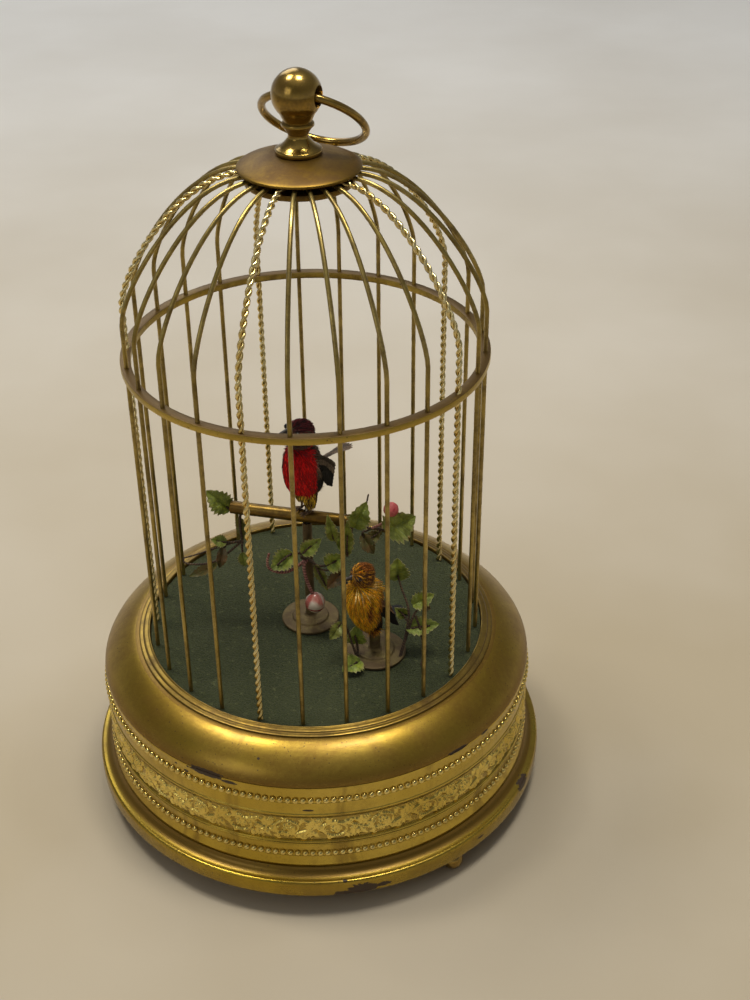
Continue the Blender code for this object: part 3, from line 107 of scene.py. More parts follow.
def addRoomLight():
    world = bpy.data.worlds.new("softRoom")
    world.use_nodes = True
    tree = world.node_tree
    sky = tree.nodes["Background"]
    coords = added(tree, "ShaderNodeTexCoord")
    height = added(tree, "ShaderNodeSeparateXYZ", {0: coords.outputs["Generated"]}).outputs["Z"]
    ramp = added(tree, "ShaderNodeValToRGB", {"Fac": height})
    for i, (level, bright) in enumerate(roomLook["stops"]):
        stop = ramp.color_ramp.elements[i] if i < 2 else ramp.color_ramp.elements.new(level)
        stop.position = level
        stop.color = (*(bright * part for part in roomLook["colour"]), 1)
    tree.links.new(ramp.outputs["Color"], sky.inputs["Color"])
    bpy.context.scene.world = world
    bpy.context.scene.view_settings.view_transform = "Standard"


# Small tools for node trees


def added(tree, kind, inputs=None, **settings):
    made = tree.nodes.new(kind)
    for name, value in settings.items():
        setattr(made, name, value)
    for name, value in (inputs or {}).items():
        socket = made.inputs[name]
        if isinstance(value, bpy.types.NodeSocket):
            tree.links.new(value, socket)
        else:
            socket.default_value = value
    return made


def firstOf(tree, kind, inputs=None, **settings):  # the first output of a node
    return added(tree, kind, inputs, **settings).outputs[0]


def startMaterial(name):
    made = bpy.data.materials.new(name)
    made.use_nodes = True
    return made, made.node_tree, made.node_tree.nodes["Principled BSDF"]


def objectPlace(tree, scale=(1, 1, 1), place=(0, 0, 0)):
    coords = added(tree, "ShaderNodeTexCoord")
    inputs = {"Vector": coords.outputs["Object"], "Scale": scale, "Location": place}
    return firstOf(tree, "ShaderNodeMapping", inputs)


def noiseAt(tree, vector, scale, detail=4.0, roughness=0.55, distortion=0.0):
    inputs = {"Vector": vector, "Scale": scale, "Detail": detail, "Roughness": roughness}
    return added(tree, "ShaderNodeTexNoise", {**inputs, "Distortion": distortion}).outputs["Fac"]


def cellsAt(tree, vector, scale):
    return added(tree, "ShaderNodeTexVoronoi", {"Vector": vector, "Scale": scale}).outputs["Distance"]


def storedValue(tree, name, output="Fac"):
    return added(tree, "ShaderNodeAttribute", attribute_name=name).outputs[output]


def stretched(tree, value, low, high, toLow=0.0, toHigh=1.0):
    inputs = {"Value": value, "From Min": low, "From Max": high, "To Min": toLow, "To Max": toHigh}
    return added(tree, "ShaderNodeMapRange", inputs, interpolation_type="SMOOTHSTEP").outputs["Result"]


def worked(tree, operation, *values):
    return added(tree, "ShaderNodeMath", dict(enumerate(values)), operation=operation).outputs["Value"]


def plus(tree, first, second):
    return worked(tree, "ADD", first, second)


def minus(tree, first, second):
    return worked(tree, "SUBTRACT", first, second)


def times(tree, first, second):
    return worked(tree, "MULTIPLY", first, second)


def larger(tree, first, second):
    return worked(tree, "MAXIMUM", first, second)


def mixed(tree, amount, first, second):  # 6, 7 and 2 are a Mix node's colour sockets
    inputs = {0: amount}
    for number, colour in ((6, first), (7, second)):
        inputs[number] = colour if isinstance(colour, bpy.types.NodeSocket) else (*colour, 1)
    return added(tree, "ShaderNodeMix", inputs, data_type="RGBA").outputs[2]


def roundAxis(tree, vector):  # distance from the cage's axis, and height
    x, y, z = added(tree, "ShaderNodeSeparateXYZ", {0: vector}).outputs
    squares = plus(tree, times(tree, x, x), times(tree, y, y))
    return worked(tree, "SQRT", squares), z


def surfaced(tree, shader, colour, rough):
    tree.links.new(colour, shader.inputs["Base Color"])
    if isinstance(rough, float):
        shader.inputs["Roughness"].default_value = rough
    else:
        tree.links.new(rough, shader.inputs["Roughness"])


def bumped(tree, shader, height, strength, distance):
    bump = added(tree, "ShaderNodeBump", {"Height": height, "Strength": strength, "Distance": distance})
    tree.links.new(bump.outputs["Normal"], shader.inputs["Normal"])


# Finishes

brassLooks = {
    "bandBrass": {
        "gold": (0.45, 0.315, 0.042), "pale": (0.66, 0.49, 0.095), "brown": (0.21, 0.120, 0.015),
        "cloud": 30, "tarnish": (0.50, 0.90), "depth": 0.65, "specks": 0.30, "rough": 0.16, "reflectionStreaks": 0.70,
        "coat": 0.08, "lines": ((0.02870, 0.00022), (0.04045, 0.00022)),
    },
    "beadBrass": {
        "gold": (0.70, 0.52, 0.130), "pale": (0.88, 0.69, 0.230), "brown": (0.13, 0.072, 0.014),
        "cloud": 70, "tarnish": (0.55, 0.90), "depth": 0.6, "specks": 0.3, "rough": 0.13, "coat": 0.4,
        "recess": (0.07912, 0.07942), "deepShade": 0.75,
    },
    "friezeBrass": {
        "gold": (0.62, 0.45, 0.085), "pale": (0.88, 0.68, 0.180), "brown": (0.21, 0.120, 0.015),
        "cloud": 60, "tarnish": (0.60, 0.95), "depth": 0.4, "specks": 0.1, "rough": 0.13, "coat": 0.1,
        "recess": (0.07908, 0.07932), "deepShade": 0.72,
    },
    "footBrass": {
        "gold": (0.40, 0.275, 0.032), "pale": (0.55, 0.40, 0.062), "brown": (0.20, 0.115, 0.014),
        "cloud": 30, "tarnish": (0.42, 0.80), "depth": 0.78, "specks": 0.95, "rough": 0.20, "reflectionStreaks": 0.30,
        "coat": 0.06, "cove": (0.0149, 0.0174),
    },
    "shoulderBrass": {
        "gold": (0.41, 0.270, 0.032), "pale": (0.56, 0.390, 0.062), "brown": (0.17, 0.085, 0.011),
        "cloud": 44, "tarnish": (0.30, 0.76), "depth": 0.80, "specks": 0.85, "rough": 0.24,
        "scratches": 0.16, "coat": 0.08, "lines": ((0.06452, 0.00025), (0.05442, 0.00035)),
        "fall": (0.0620, 0.0552, 0.85),
    },
    "rimBrass": {
        "gold": (0.32, 0.205, 0.040), "pale": (0.44, 0.30, 0.065), "brown": (0.085, 0.045, 0.012),
        "cloud": 60, "tarnish": (0.38, 0.76), "depth": 0.80, "specks": 0.7, "rough": 0.25,
        "lines": ((0.06490, 0.00014), (0.06540, 0.00012)),
    },
    "capBrass": {
        "gold": (0.19, 0.112, 0.016), "pale": (0.27, 0.168, 0.028), "brown": (0.078, 0.036, 0.008),
        "cloud": 90, "tarnish": (0.34, 0.72), "depth": 0.80, "specks": 1.0, "rough": 0.38,
        "edge": (0.0186, 0.0194, 1.0, 0.25),
    },
    "hoopBrass": {
        "gold": (0.44, 0.31, 0.062), "pale": (0.60, 0.44, 0.105), "brown": (0.115, 0.066, 0.016),
        "cloud": 80, "tarnish": (0.40, 0.78), "depth": 0.8, "specks": 0.8, "rough": 0.28,
        "edge": (0.0606, 0.0612, 1.0, 0.25), "lid": (0.17885, 0.17916),
    },
    "wireBrass": {
        "gold": (0.42, 0.315, 0.090), "pale": (0.60, 0.46, 0.160), "brown": (0.12, 0.078, 0.022),
        "cloud": 110, "tarnish": (0.38, 0.78), "depth": 0.85, "specks": 0.6, "rough": 0.26,
    },
    "twistBrass": {
        "gold": (0.77, 0.59, 0.227), "pale": (0.90, 0.77, 0.403), "brown": (0.20, 0.12, 0.035),
        "cloud": 90, "tarnish": (0.58, 0.92), "depth": 0.6, "specks": 0.3, "rough": 0.20,
    },
    "finialBrass": {
        "gold": (0.36, 0.225, 0.036), "pale": (0.50, 0.335, 0.068), "brown": (0.13, 0.070, 0.015),
        "cloud": 150, "tarnish": (0.42, 0.80), "depth": 0.85, "specks": 0.8, "rough": 0.12, "coat": 0.35,
    },
    "perchBrass": {
        "gold": (0.22, 0.130, 0.022), "pale": (0.31, 0.20, 0.040), "brown": (0.09, 0.046, 0.011),
        "cloud": 130, "tarnish": (0.38, 0.74), "depth": 0.88, "specks": 0.8, "rough": 0.27,
    },
    "discBrass": {
        "gold": (0.21, 0.17, 0.064), "pale": (0.31, 0.25, 0.102), "brown": (0.115, 0.075, 0.038),
        "cloud": 170, "tarnish": (0.30, 0.66), "depth": 0.9, "specks": 1.0, "rough": 0.48,
    },
    "clockBrass": {
        "gold": (0.71, 0.48, 0.145), "pale": (0.81, 0.59, 0.211), "brown": (0.30, 0.20, 0.08),
        "cloud": 60, "tarnish": (0.60, 0.90), "depth": 0.5, "specks": 0.2, "rough": 0.32,
    },
}

# Places where the lacquer and plating have gone: middle, half sizes and how ragged the edge is
wornPlaces = {
    "bandBrass": [
        ((-0.0011, -0.0793, 0.0440), (0.0020, 0.0020, 0.00045), 0.15),
        ((-0.0363, -0.0707, 0.0536), (0.0078, 0.0050, 0.0013), 0.75),
        ((-0.0276, -0.0745, 0.0528), (0.0030, 0.0030, 0.0008), 0.65),
        ((-0.0431, -0.0668, 0.0508), (0.0010, 0.0010, 0.0006), 0.45),
        ((-0.0466, -0.0642, 0.0522), (0.0006, 0.0006, 0.0005), 0.35),
        ((0.0504, -0.0615, 0.0540), (0.0050, 0.0040, 0.0004), 0.75),
        ((0.0600, -0.0520, 0.0538), (0.0020, 0.0020, 0.0004), 0.70),
        ((0.0727, -0.0322, 0.0462), (0.0007, 0.0012, 0.0009), 0.35),
    ],
    "footBrass": [
        ((0.0102, -0.0847, 0.0092), (0.0034, 0.0024, 0.0014), 0.7),
        ((0.0172, -0.0835, 0.0106), (0.0052, 0.0040, 0.0026), 0.8),
        ((0.0245, -0.0817, 0.0108), (0.0030, 0.0026, 0.0010), 0.7),
        ((0.0110, -0.0843, 0.0148), (0.0009, 0.0012, 0.0006), 0.4),
        ((0.0775, -0.0371, 0.0140), (0.0034, 0.0050, 0.0020), 0.8),
        ((0.0585, -0.0600, 0.0118), (0.0022, 0.0022, 0.0006), 0.7),
    ],
    "shoulderBrass": [
        ((-0.0428, -0.0620, 0.0622), (0.0022, 0.0022, 0.0002), 0.7),
        ((-0.0174, -0.0719, 0.0610), (0.0005, 0.0005, 0.0004), 0.3),
        ((-0.0363, -0.0712, 0.0548), (0.0070, 0.0046, 0.0006), 0.8),
        ((0.0504, -0.0620, 0.0547), (0.0050, 0.0050, 0.0004), 0.8),
        ((-0.0620, -0.0380, 0.0630), (0.0016, 0.0012, 0.0006), 0.6),
    ],
}

# What all the brass shares: how strong each texture is, and how dull and rough the wear makes it
wear = {
    "clouds": 0.85, "grit": 0.30, "gritScale": 11, "fine": 0.30, "fineScale": 900,
    "spotScale": 520, "dotScale": 1500, "spotDark": 0.22, "dull": 0.32, "dullSpots": 0.8, "dullBare": 0.85,
    "bare": (0.044, 0.022, 0.008), "ringScale": 2600, "roughDull": 0.34, "roughRings": 0.07,
    "coatRough": 0.16, "bump": 0.16, "bumpDepth": 0.0003,
}


def agedBrass(name):
    look = brassLooks[name]
    made, tree, shader = startMaterial(name)
    place = objectPlace(tree)
    radius, height = roundAxis(tree, place)
    clouds = noiseAt(tree, place, look["cloud"], 8.0, 0.62, 0.5)
    grit = noiseAt(tree, place, look["cloud"] * wear["gritScale"], 5.0, 0.7)
    total = plus(tree, times(tree, clouds, wear["clouds"]), times(tree, grit, wear["grit"]))
    patina = times(tree, stretched(tree, total, *look["tarnish"]), look["depth"])
    if "edge" in look:  # painted highlight, with rubbed wear: brighter, or duller, towards the outer edge
        patina = times(tree, patina, stretched(tree, radius, *look["edge"]))
    if "fall" in look:  # painted shade: darker and duller towards its foot, for the dark room it reflects there
        start, end, most = look["fall"]
        foot = times(tree, stretched(tree, height, start, end), most)
        patina = larger(tree, patina, times(tree, foot, stretched(tree, total, 0.15, 0.60, 0.55, 1.0)))
    if "lid" in look:  # brown on its upper face
        lid = stretched(tree, height, *look["lid"])
        patina = larger(tree, patina, times(tree, lid, stretched(tree, total, 0.2, 0.6, 0.7, 1.0)))
    if "reflectionStreaks" in look:  # painted reflection: darker upright bands, for the room seen mirrored in the brass
        reflectionBand = noiseAt(tree, objectPlace(tree, (1, 1, 0.10)), 95, 5.0, 0.6, 0.3)
        patina = larger(tree, patina, times(tree, stretched(tree, reflectionBand, 0.48, 0.72), look["reflectionStreaks"]))
    if "cove" in look:  # dirt that gathers in the hollow
        low, high = look["cove"]
        above = stretched(tree, height, low - 0.0002, low + 0.0003)
        under = stretched(tree, height, high, high + 0.0003, 1.0, 0.0)
        inside = times(tree, times(tree, above, under), stretched(tree, total, 0.20, 0.62, 0.60, 1.0))
        patina = larger(tree, patina, inside)
    for level, half in look.get("lines", ()):  # painted shade: dark lines in the turned grooves and where parts meet
        off = worked(tree, "ABSOLUTE", minus(tree, height, level))
        patina = larger(tree, patina, stretched(tree, off, 0.8 * half, 1.05 * half, 0.80, 0.0))
    if "recess" in look:  # painted shade in what lies deep
        deepShade = stretched(tree, radius, *look["recess"], look["deepShade"], 0.0)
        patina = larger(tree, patina, times(tree, deepShade, stretched(tree, grit, 0.3, 0.6, 0.85, 1.0)))
    fine = stretched(tree, noiseAt(tree, place, wear["fineScale"], 4.0, 0.7), 0.52, 0.68)
    patina = larger(tree, patina, times(tree, times(tree, fine, wear["fine"]), look["depth"]))
    few = stretched(tree, noiseAt(tree, place, 55, 2.0), 0.44, 0.62)
    spots = times(tree, stretched(tree, cellsAt(tree, place, wear["spotScale"]), 0.08, 0.17, 1.0, 0.0), few)
    dots = stretched(tree, cellsAt(tree, place, wear["dotScale"]), 0.12, 0.26, 0.7, 0.0)
    dots = times(tree, dots, stretched(tree, noiseAt(tree, place, 120, 3.0), 0.50, 0.62))
    spots = times(tree, larger(tree, spots, dots), look["specks"])
    bare = None
    for middle, half, ragged in wornPlaces.get(name, []):
        scale = tuple(1 / size for size in half)
        offset = tuple(-part / size for part, size in zip(middle, half))
        local = objectPlace(tree, scale, offset)
        reach = added(tree, "ShaderNodeVectorMath", {0: local}, operation="LENGTH").outputs["Value"]
        torn = times(tree, noiseAt(tree, place, 620, 5.0, 0.7), 2 * ragged)
        patch = stretched(tree, plus(tree, reach, torn), 0.92 + ragged, 1.02 + ragged, 1.0, 0.0)
        bare = patch if bare is None else larger(tree, bare, patch)
    drift = stretched(tree, noiseAt(tree, place, look["cloud"] * 0.5, 3.0), 0.35, 0.68)
    colour = mixed(tree, drift, look["gold"], look["pale"])
    colour = mixed(tree, patina, colour, look["brown"])
    colour = mixed(tree, spots, colour, tuple(wear["spotDark"] * part for part in look["brown"]))
    dulled = larger(tree, times(tree, patina, wear["dull"]), times(tree, spots, wear["dullSpots"]))
    turning = firstOf(tree, "ShaderNodeCombineXYZ", {0: radius, 1: height, 2: 0.0})
    rings = noiseAt(tree, turning, wear["ringScale"], 2.0, 0.5)
    relief = plus(tree, times(tree, rings, 0.25), times(tree, grit, 0.5))
    if "scratches" in look:  # fine pale lines of wear, in two directions
        lines = None
        for tilt in ((1, 0.18, 1), (0.22, 1, 1)):
            wave = noiseAt(tree, objectPlace(tree, tilt), 420, 2.0, 0.5, 0.4)
            off = worked(tree, "ABSOLUTE", minus(tree, wave, 0.5))
            line = stretched(tree, off, 0.004, 0.012, 1.0, 0.0)
            lines = line if lines is None else larger(tree, lines, line)
        patches = stretched(tree, noiseAt(tree, place, 70, 2.0), 0.45, 0.65, 0.15, look["scratches"])
        lines = times(tree, lines, patches)
        colour = mixed(tree, lines, colour, look["pale"])
        relief = minus(tree, relief, times(tree, lines, 0.5))
    if bare is not None:
        colour = mixed(tree, bare, colour, wear["bare"])
        dulled = larger(tree, dulled, times(tree, bare, wear["dullBare"]))
    tree.links.new(minus(tree, 1.0, dulled), shader.inputs["Metallic"])
    rough = plus(tree, look["rough"], times(tree, dulled, wear["roughDull"]))
    surfaced(tree, shader, colour, plus(tree, rough, times(tree, rings, wear["roughRings"])))
    shader.inputs["Coat Weight"].default_value = look.get("coat", 0.0)
    shader.inputs["Coat Roughness"].default_value = wear["coatRough"]
    bumped(tree, shader, relief, wear["bump"], wear["bumpDepth"])
    return made


def steelFinish():
    made, tree, shader = startMaterial("polishedSteel")
    clouds = noiseAt(tree, objectPlace(tree), 90, 5.0, 0.6)
    colour = mixed(tree, clouds, (0.36, 0.36, 0.38), (0.56, 0.55, 0.54))
    surfaced(tree, shader, colour, stretched(tree, clouds, 0.3, 0.7, 0.22, 0.42))
    shader.inputs["Metallic"].default_value = 1.0
    bumped(tree, shader, noiseAt(tree, objectPlace(tree, (1, 1, 14)), 500, 3.0), 0.1, 0.0002)
    return made


flockLook = {
    "dark": (0.015, 0.021, 0.005), "green": (0.060, 0.073, 0.017), "worn": (0.078, 0.086, 0.034),
    "dust": (0.190, 0.200, 0.075), "fibres": 26000, "fibreLength": 0.00050, "fibreWidth": 0.00013,
    "seed": 7, "lift": 0.75, "spread": 3.0, "vary": 0.35,
}


def flockFinish(name, lift):
    made, tree, shader = startMaterial(name)
    place = objectPlace(tree)
    worn = stretched(tree, noiseAt(tree, place, 24, 5.0, 0.6), 0.36, 0.66)
    grains = stretched(tree, noiseAt(tree, place, 1500, 3.0, 0.7), 0.30, 0.70)
    dust = stretched(tree, noiseAt(tree, place, 420, 5.0, 0.75), 0.56, 0.74, 0.0, 0.55)
    colour = mixed(tree, times(tree, grains, lift), flockLook["dark"], flockLook["green"])
    colour = mixed(tree, times(tree, worn, 0.30), colour, flockLook["worn"])
    surfaced(tree, shader, mixed(tree, dust, colour, flockLook["dust"]), 0.95)
    shader.inputs["Sheen Weight"].default_value = 0.08
    shader.inputs["Sheen Roughness"].default_value = 0.5
    bumped(tree, shader, grains, 0.6, 0.0003)
    return made


leafLook = {
    "deep": (0.110, 0.155, 0.014), "fresh": (0.340, 0.400, 0.045), "vein": (0.200, 0.270, 0.060),
    "edge": (0.340, 0.300, 0.110), "dry": (0.170, 0.085, 0.028), "dryDark": (0.055, 0.050, 0.020),
    "glint": (0.50, 0.55, 0.30), "ribs": 42.0, "slant": 0.22,
}


def leafFinish():
    look = leafLook
    made, tree, shader = startMaterial("paintedLeafCloth")
    place = objectPlace(tree)
    across, along, age = (storedValue(tree, name) for name in ("across", "along", "age"))
    side = worked(tree, "ABSOLUTE", across)
    blotch = stretched(tree, noiseAt(tree, place, 320, 5.0, 0.65), 0.34, 0.68)
    slanted = minus(tree, along, times(tree, side, look["slant"]))
    rib = stretched(tree, worked(tree, "SINE", times(tree, slanted, look["ribs"])), 0.55, 1.0)
    vein = larger(tree, rib, stretched(tree, side, 0.05, 0.16, 1.0, 0.0))
    colour = mixed(tree, blotch, look["deep"], look["fresh"])
    colour = mixed(tree, times(tree, vein, 0.45), colour, look["vein"])
    fringe = stretched(tree, plus(tree, side, times(tree, blotch, 0.25)), 0.86, 1.10)
    colour = mixed(tree, times(tree, fringe, 0.75), colour, look["edge"])
    colour = mixed(tree, age, colour, mixed(tree, blotch, look["dry"], look["dryDark"]))
    glints = stretched(tree, cellsAt(tree, place, 900), 0.10, 0.20, 0.8, 0.0)
    glints = times(tree, glints, stretched(tree, noiseAt(tree, place, 200), 0.52, 0.66))
    colour = mixed(tree, glints, colour, look["glint"])
    surfaced(tree, shader, colour, stretched(tree, blotch, 0.0, 1.0, 0.62, 0.36))
    weave = plus(tree, times(tree, vein, -0.8), times(tree, noiseAt(tree, place, 2600, 2.0), 0.4))
    bumped(tree, shader, weave, 0.5, 0.0003)
    return made


def featherFinish():
    made, tree, shader = startMaterial("feathers")
    streak = stretched(tree, noiseAt(tree, objectPlace(tree, (1, 1, 0.22)), 1900, 3.0, 0.6), 0.30, 0.72)
    plume, bright = storedValue(tree, "plume", "Color"), stretched(tree, streak, 0.0, 1.0, 0.62, 1.35)
    colour = firstOf(tree, "ShaderNodeHueSaturation", {"Color": plume, "Value": bright})
    surfaced(tree, shader, colour, 0.52)
    shader.inputs["Specular IOR Level"].default_value = 0.22
    shader.inputs["Sheen Weight"].default_value = 0.06
    bumped(tree, shader, streak, 0.5, 0.0002)
    return made


def hornFinish(name, dark, light, rough):
    made, tree, shader = startMaterial(name)
    streak = noiseAt(tree, objectPlace(tree, (1, 1, 0.4)), 900, 4.0)
    colour = mixed(tree, stretched(tree, streak, 0.35, 0.65), dark, light)
    surfaced(tree, shader, colour, stretched(tree, streak, 0.3, 0.7, rough, rough + 0.15))
    bumped(tree, shader, streak, 0.15, 0.0002)
    return made


def threadFinish(name, dark, light, pitch=0.00100):  # wire wound with thread, along its length
    made, tree, shader = startMaterial(name)
    along, around = storedValue(tree, "along"), storedValue(tree, "around")
    phase = plus(tree, times(tree, along, tau / pitch), times(tree, around, tau))
    turn = stretched(tree, worked(tree, "SINE", phase), -1.0, 1.0)
    blotch = stretched(tree, noiseAt(tree, objectPlace(tree), 330, 4.0, 0.6), 0.36, 0.66)
    colour = mixed(tree, blotch, dark, light)
    colour = mixed(tree, times(tree, turn, 0.75), colour, tuple(0.30 * part for part in dark))
    surfaced(tree, shader, colour, 0.75)
    bumped(tree, shader, turn, 0.6, 0.0002)
    return made


def budFinish():  # cream and red swirls, with a thin red ring where the bud's halves meet
    made, tree, shader = startMaterial("lacqueredBud")
    place = objectPlace(tree)
    swirl = stretched(tree, noiseAt(tree, objectPlace(tree, (1, 1, 0.5)), 170, 4.0, 0.55, 0.8), 0.42, 0.62)
    colour = mixed(tree, swirl, (0.48, 0.110, 0.085), (0.66, 0.56, 0.44))
    height = added(tree, "ShaderNodeSeparateXYZ", {0: place}).outputs["Z"]
    wave = times(tree, noiseAt(tree, place, 90, 2.0), 0.0016)
    off = worked(tree, "ABSOLUTE", minus(tree, plus(tree, height, wave), roundLook["bud"]["ring"]))
    colour = mixed(tree, stretched(tree, off, 0.00025, 0.0006, 1.0, 0.0), colour, (0.30, 0.012, 0.016))
    surfaced(tree, shader, colour, stretched(tree, noiseAt(tree, place, 700), 0.3, 0.7, 0.16, 0.34))
    shader.inputs["Coat Weight"].default_value = 0.5
    bumped(tree, shader, swirl, 0.3, 0.0002)
    return made


def berryFinish():
    made, tree, shader = startMaterial("pinkBerry")
    place = objectPlace(tree)
    blush = stretched(tree, noiseAt(tree, place, 330, 4.0, 0.6), 0.36, 0.66)
    colour = mixed(tree, blush, (0.33, 0.018, 0.030), (0.56, 0.120, 0.110))
    surfaced(tree, shader, colour, stretched(tree, blush, 0.0, 1.0, 0.42, 0.62))
    bumped(tree, shader, noiseAt(tree, place, 1800, 3.0), 0.4, 0.0002)
    return made


def leatherFinish():
    made, tree, shader = startMaterial("kidLeather")
    place = objectPlace(tree)
    tone = stretched(tree, noiseAt(tree, place, 120, 5.0), 0.35, 0.65)
    colour = mixed(tree, tone, (0.42, 0.30, 0.20), (0.62, 0.50, 0.37))
    surfaced(tree, shader, colour, stretched(tree, tone, 0.0, 1.0, 0.55, 0.72))
    bumped(tree, shader, cellsAt(tree, place, 1600), 0.4, 0.0003)
    return made


def woodFinish():
    made, tree, shader = startMaterial("pearWood")
    grain = noiseAt(tree, objectPlace(tree, (1, 9, 9)), 160, 5.0, 0.6, 0.6)
    colour = mixed(tree, stretched(tree, grain, 0.35, 0.65), (0.23, 0.11, 0.05), (0.40, 0.22, 0.11))
    surfaced(tree, shader, colour, stretched(tree, grain, 0.3, 0.7, 0.42, 0.60))
    bumped(tree, shader, grain, 0.3, 0.0003)
    return made


def floorFinish():
    look = floorLook
    made, tree, shader = startMaterial("paleSheet")
    place = objectPlace(tree)
    depth = added(tree, "ShaderNodeSeparateXYZ", {0: place}).outputs["Y"]
    # painted light: warm and darker near the cage, brighter far off
    paintedLightFade = stretched(tree, depth, look["from"], look["to"])
    clouds = stretched(tree, noiseAt(tree, place, 3.2, 4.0, 0.5), 0.30, 0.70, -0.10, 0.10)
    surfaced(tree, shader, mixed(tree, plus(tree, paintedLightFade, clouds), look["near"], look["far"]), 0.85)
    bumped(tree, shader, noiseAt(tree, place, 9.0, 4.0, 0.5), 0.25, 0.01)
    return made


def addFloor():
    mesh = bpy.data.meshes.new("sheet")
    mesh.from_pydata(floorLook["corners"], [], [(0, 1, 2, 3)])
    mesh.materials.append(floorFinish())
    sheet = linked("sheet", mesh)


# Making pieces


def meshFrom(bm, name):
    mesh = bpy.data.meshes.new(name)
    bm.to_mesh(mesh)
    bm.free()
    return mesh


def smoothed(mesh, angle=42):
    mesh.shade_smooth()
    mesh.set_sharp_from_angle(angle=radians(angle))


def shown(bm, name, finish, angle=42, smooth=True):
    bmesh.ops.remove_doubles(bm, verts=bm.verts, dist=2e-7)
    bmesh.ops.recalc_face_normals(bm, faces=bm.faces)
    mesh = meshFrom(bm, name)
    if smooth:
        smoothed(mesh, angle)
    mesh.materials.append(finish)
    return linked(name, mesh)


def settled(piece, body, slot, *nodes):
    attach(piece, body)
    if nodes:
        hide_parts(*nodes)
    return piece


def softened(profile, soft, closed):
    points = [Vector(point) for point in profile]
    count = len(points)
    found = []
    for i, point in enumerate(points):
        if not closed and i in (0, count - 1):
            found.append(point)
            continue
        before, after = points[i - 1], points[(i + 1) % count]
        back, ahead = before - point, after - point
        if back.length < 1e-9 or ahead.length < 1e-9 or abs((-back).angle(ahead)) < radians(14):
            found.append(point)
            continue
        reach = min(soft, 0.42 * back.length, 0.42 * ahead.length)
        start, end = point + back.normalized() * reach, point + ahead.normalized() * reach
        found += [start, (start + 2 * point + end) / 4, end]
    return found


def ridge(low, high, base, rise, steps=6):  # a raised half-round moulding on a turned profile
    middle, half = (low + high) / 2, (high - low) / 2
    turns = [pi * i / steps for i in range(steps + 1)]
    return [(base + rise * sin(turn), middle - half * cos(turn)) for turn in turns]


def latheMesh(profile, steps=160, soft=0.0003, centre=(0, 0)):
    closed = profile[0][0] > 1e-7
    line = softened(profile, soft, closed) if soft else [Vector(point) for point in profile]
    bm = bmesh.new()
    rings = []
    for radius, z in line:
        turns = [tau * i / steps for i in range(steps if radius > 1e-7 else 1)]
        ring = [(centre[0] + radius * cos(turn), centre[1] + radius * sin(turn), z) for turn in turns]
        rings.append([bm.verts.new(point) for point in ring])
    for low, high in list(zip(rings, rings[1:])) + ([(rings[-1], rings[0])] if closed else []):
        for i in range(steps):
            j = (i + 1) % steps
            if len(low) == 1 and len(high) > 1:
                bm.faces.new((low[0], high[j], high[i]))
            elif len(high) == 1 and len(low) > 1:
                bm.faces.new((low[i], low[j], high[0]))
            elif len(low) > 1:
                bm.faces.new((low[i], low[j], high[j], high[i]))
    return bm


def loftMesh(rings, closed=False):
    bm = bmesh.new()
    loops = [[bm.verts.new(point) for point in ring] for ring in rings]
    for low, high in list(zip(loops, loops[1:])) + ([(loops[-1], loops[0])] if closed else []):
        for i in range(len(low)):
            j = (i + 1) % len(low)
            bm.faces.new((low[i], low[j], high[j], high[i]))
    if not closed:
        bm.faces.new(loops[0][::-1])
        bm.faces.new(loops[-1])
    return bm


def laidAlong(bm, middle, along):  # an upright shape turned to lie along a direction
    turn = Matrix.Translation(middle) @ along.to_track_quat("Z", "Y").to_matrix().to_4x4()
    bmesh.ops.transform(bm, matrix=turn, verts=bm.verts)
    return bm


def joined(*meshes):
    whole = bmesh.new()
    for bm in meshes:
        held = meshFrom(bm, "held")
        whole.from_mesh(held)
        bpy.data.meshes.remove(held)
    return whole


def cutBy(piece, bm):
    tool = shown(bm, "cutter", piece.data.materials[0])
    step = piece.modifiers.new("bore", "BOOLEAN")
    step.operation = "DIFFERENCE"
    step.solver = "EXACT"
    step.object = tool
    plainMesh(piece)
    bpy.data.objects.remove(tool, do_unlink=True)
    smoothed(piece.data)


def lathed(name, profile, steps, soft, finish, slot, *nodes, centre=(0, 0)):
    return settled(shown(latheMesh(profile, steps, soft, centre), name, finish), root, slot, *nodes)


def plainMesh(piece):  # the evaluated result, kept as the piece's own mesh
    graph = bpy.context.evaluated_depsgraph_get()
    final = piece.evaluated_get(graph)
    mesh = bpy.data.meshes.new_from_object(final, preserve_all_data_layers=True, depsgraph=graph)
    piece.modifiers.clear()
    piece.data = mesh


# Geometry Nodes


def startTree(name, inputs):
    tree = bpy.data.node_groups.new(name, "GeometryNodeTree")
    tree.interface.new_socket("Geometry", in_out="INPUT", socket_type="NodeSocketGeometry")
    sockets = {}
    for label, kind in [*inputs, ("Material", "Material")]:
        socket = tree.interface.new_socket(label, in_out="INPUT", socket_type="NodeSocket" + kind)
        sockets[label] = socket.identifier
    tree.interface.new_socket("Geometry", in_out="OUTPUT", socket_type="NodeSocketGeometry")
    return tree, added(tree, "NodeGroupInput").outputs, sockets


def endTree(tree, geometry, given, smooth=True):
    geometry = firstOf(tree, "GeometryNodeRealizeInstances", {"Geometry": geometry})
    if smooth:
        geometry = firstOf(tree, "GeometryNodeSetShadeSmooth", {"Geometry": geometry})
    finished = firstOf(tree, "GeometryNodeSetMaterial", {"Geometry": geometry, "Material": given["Material"]})
    added(tree, "NodeGroupOutput", {"Geometry": finished})


def copiesRound(tree, geometry, count):
    points = firstOf(tree, "GeometryNodePoints", {"Count": count})
    step = worked(tree, "DIVIDE", tau, count)
    turn = times(tree, firstOf(tree, "GeometryNodeInputIndex"), step)
    rotation = firstOf(tree, "ShaderNodeCombineXYZ", {"Z": turn})
    inputs = {"Points": points, "Instance": geometry, "Rotation": rotation}
    return firstOf(tree, "GeometryNodeInstanceOnPoints", inputs)


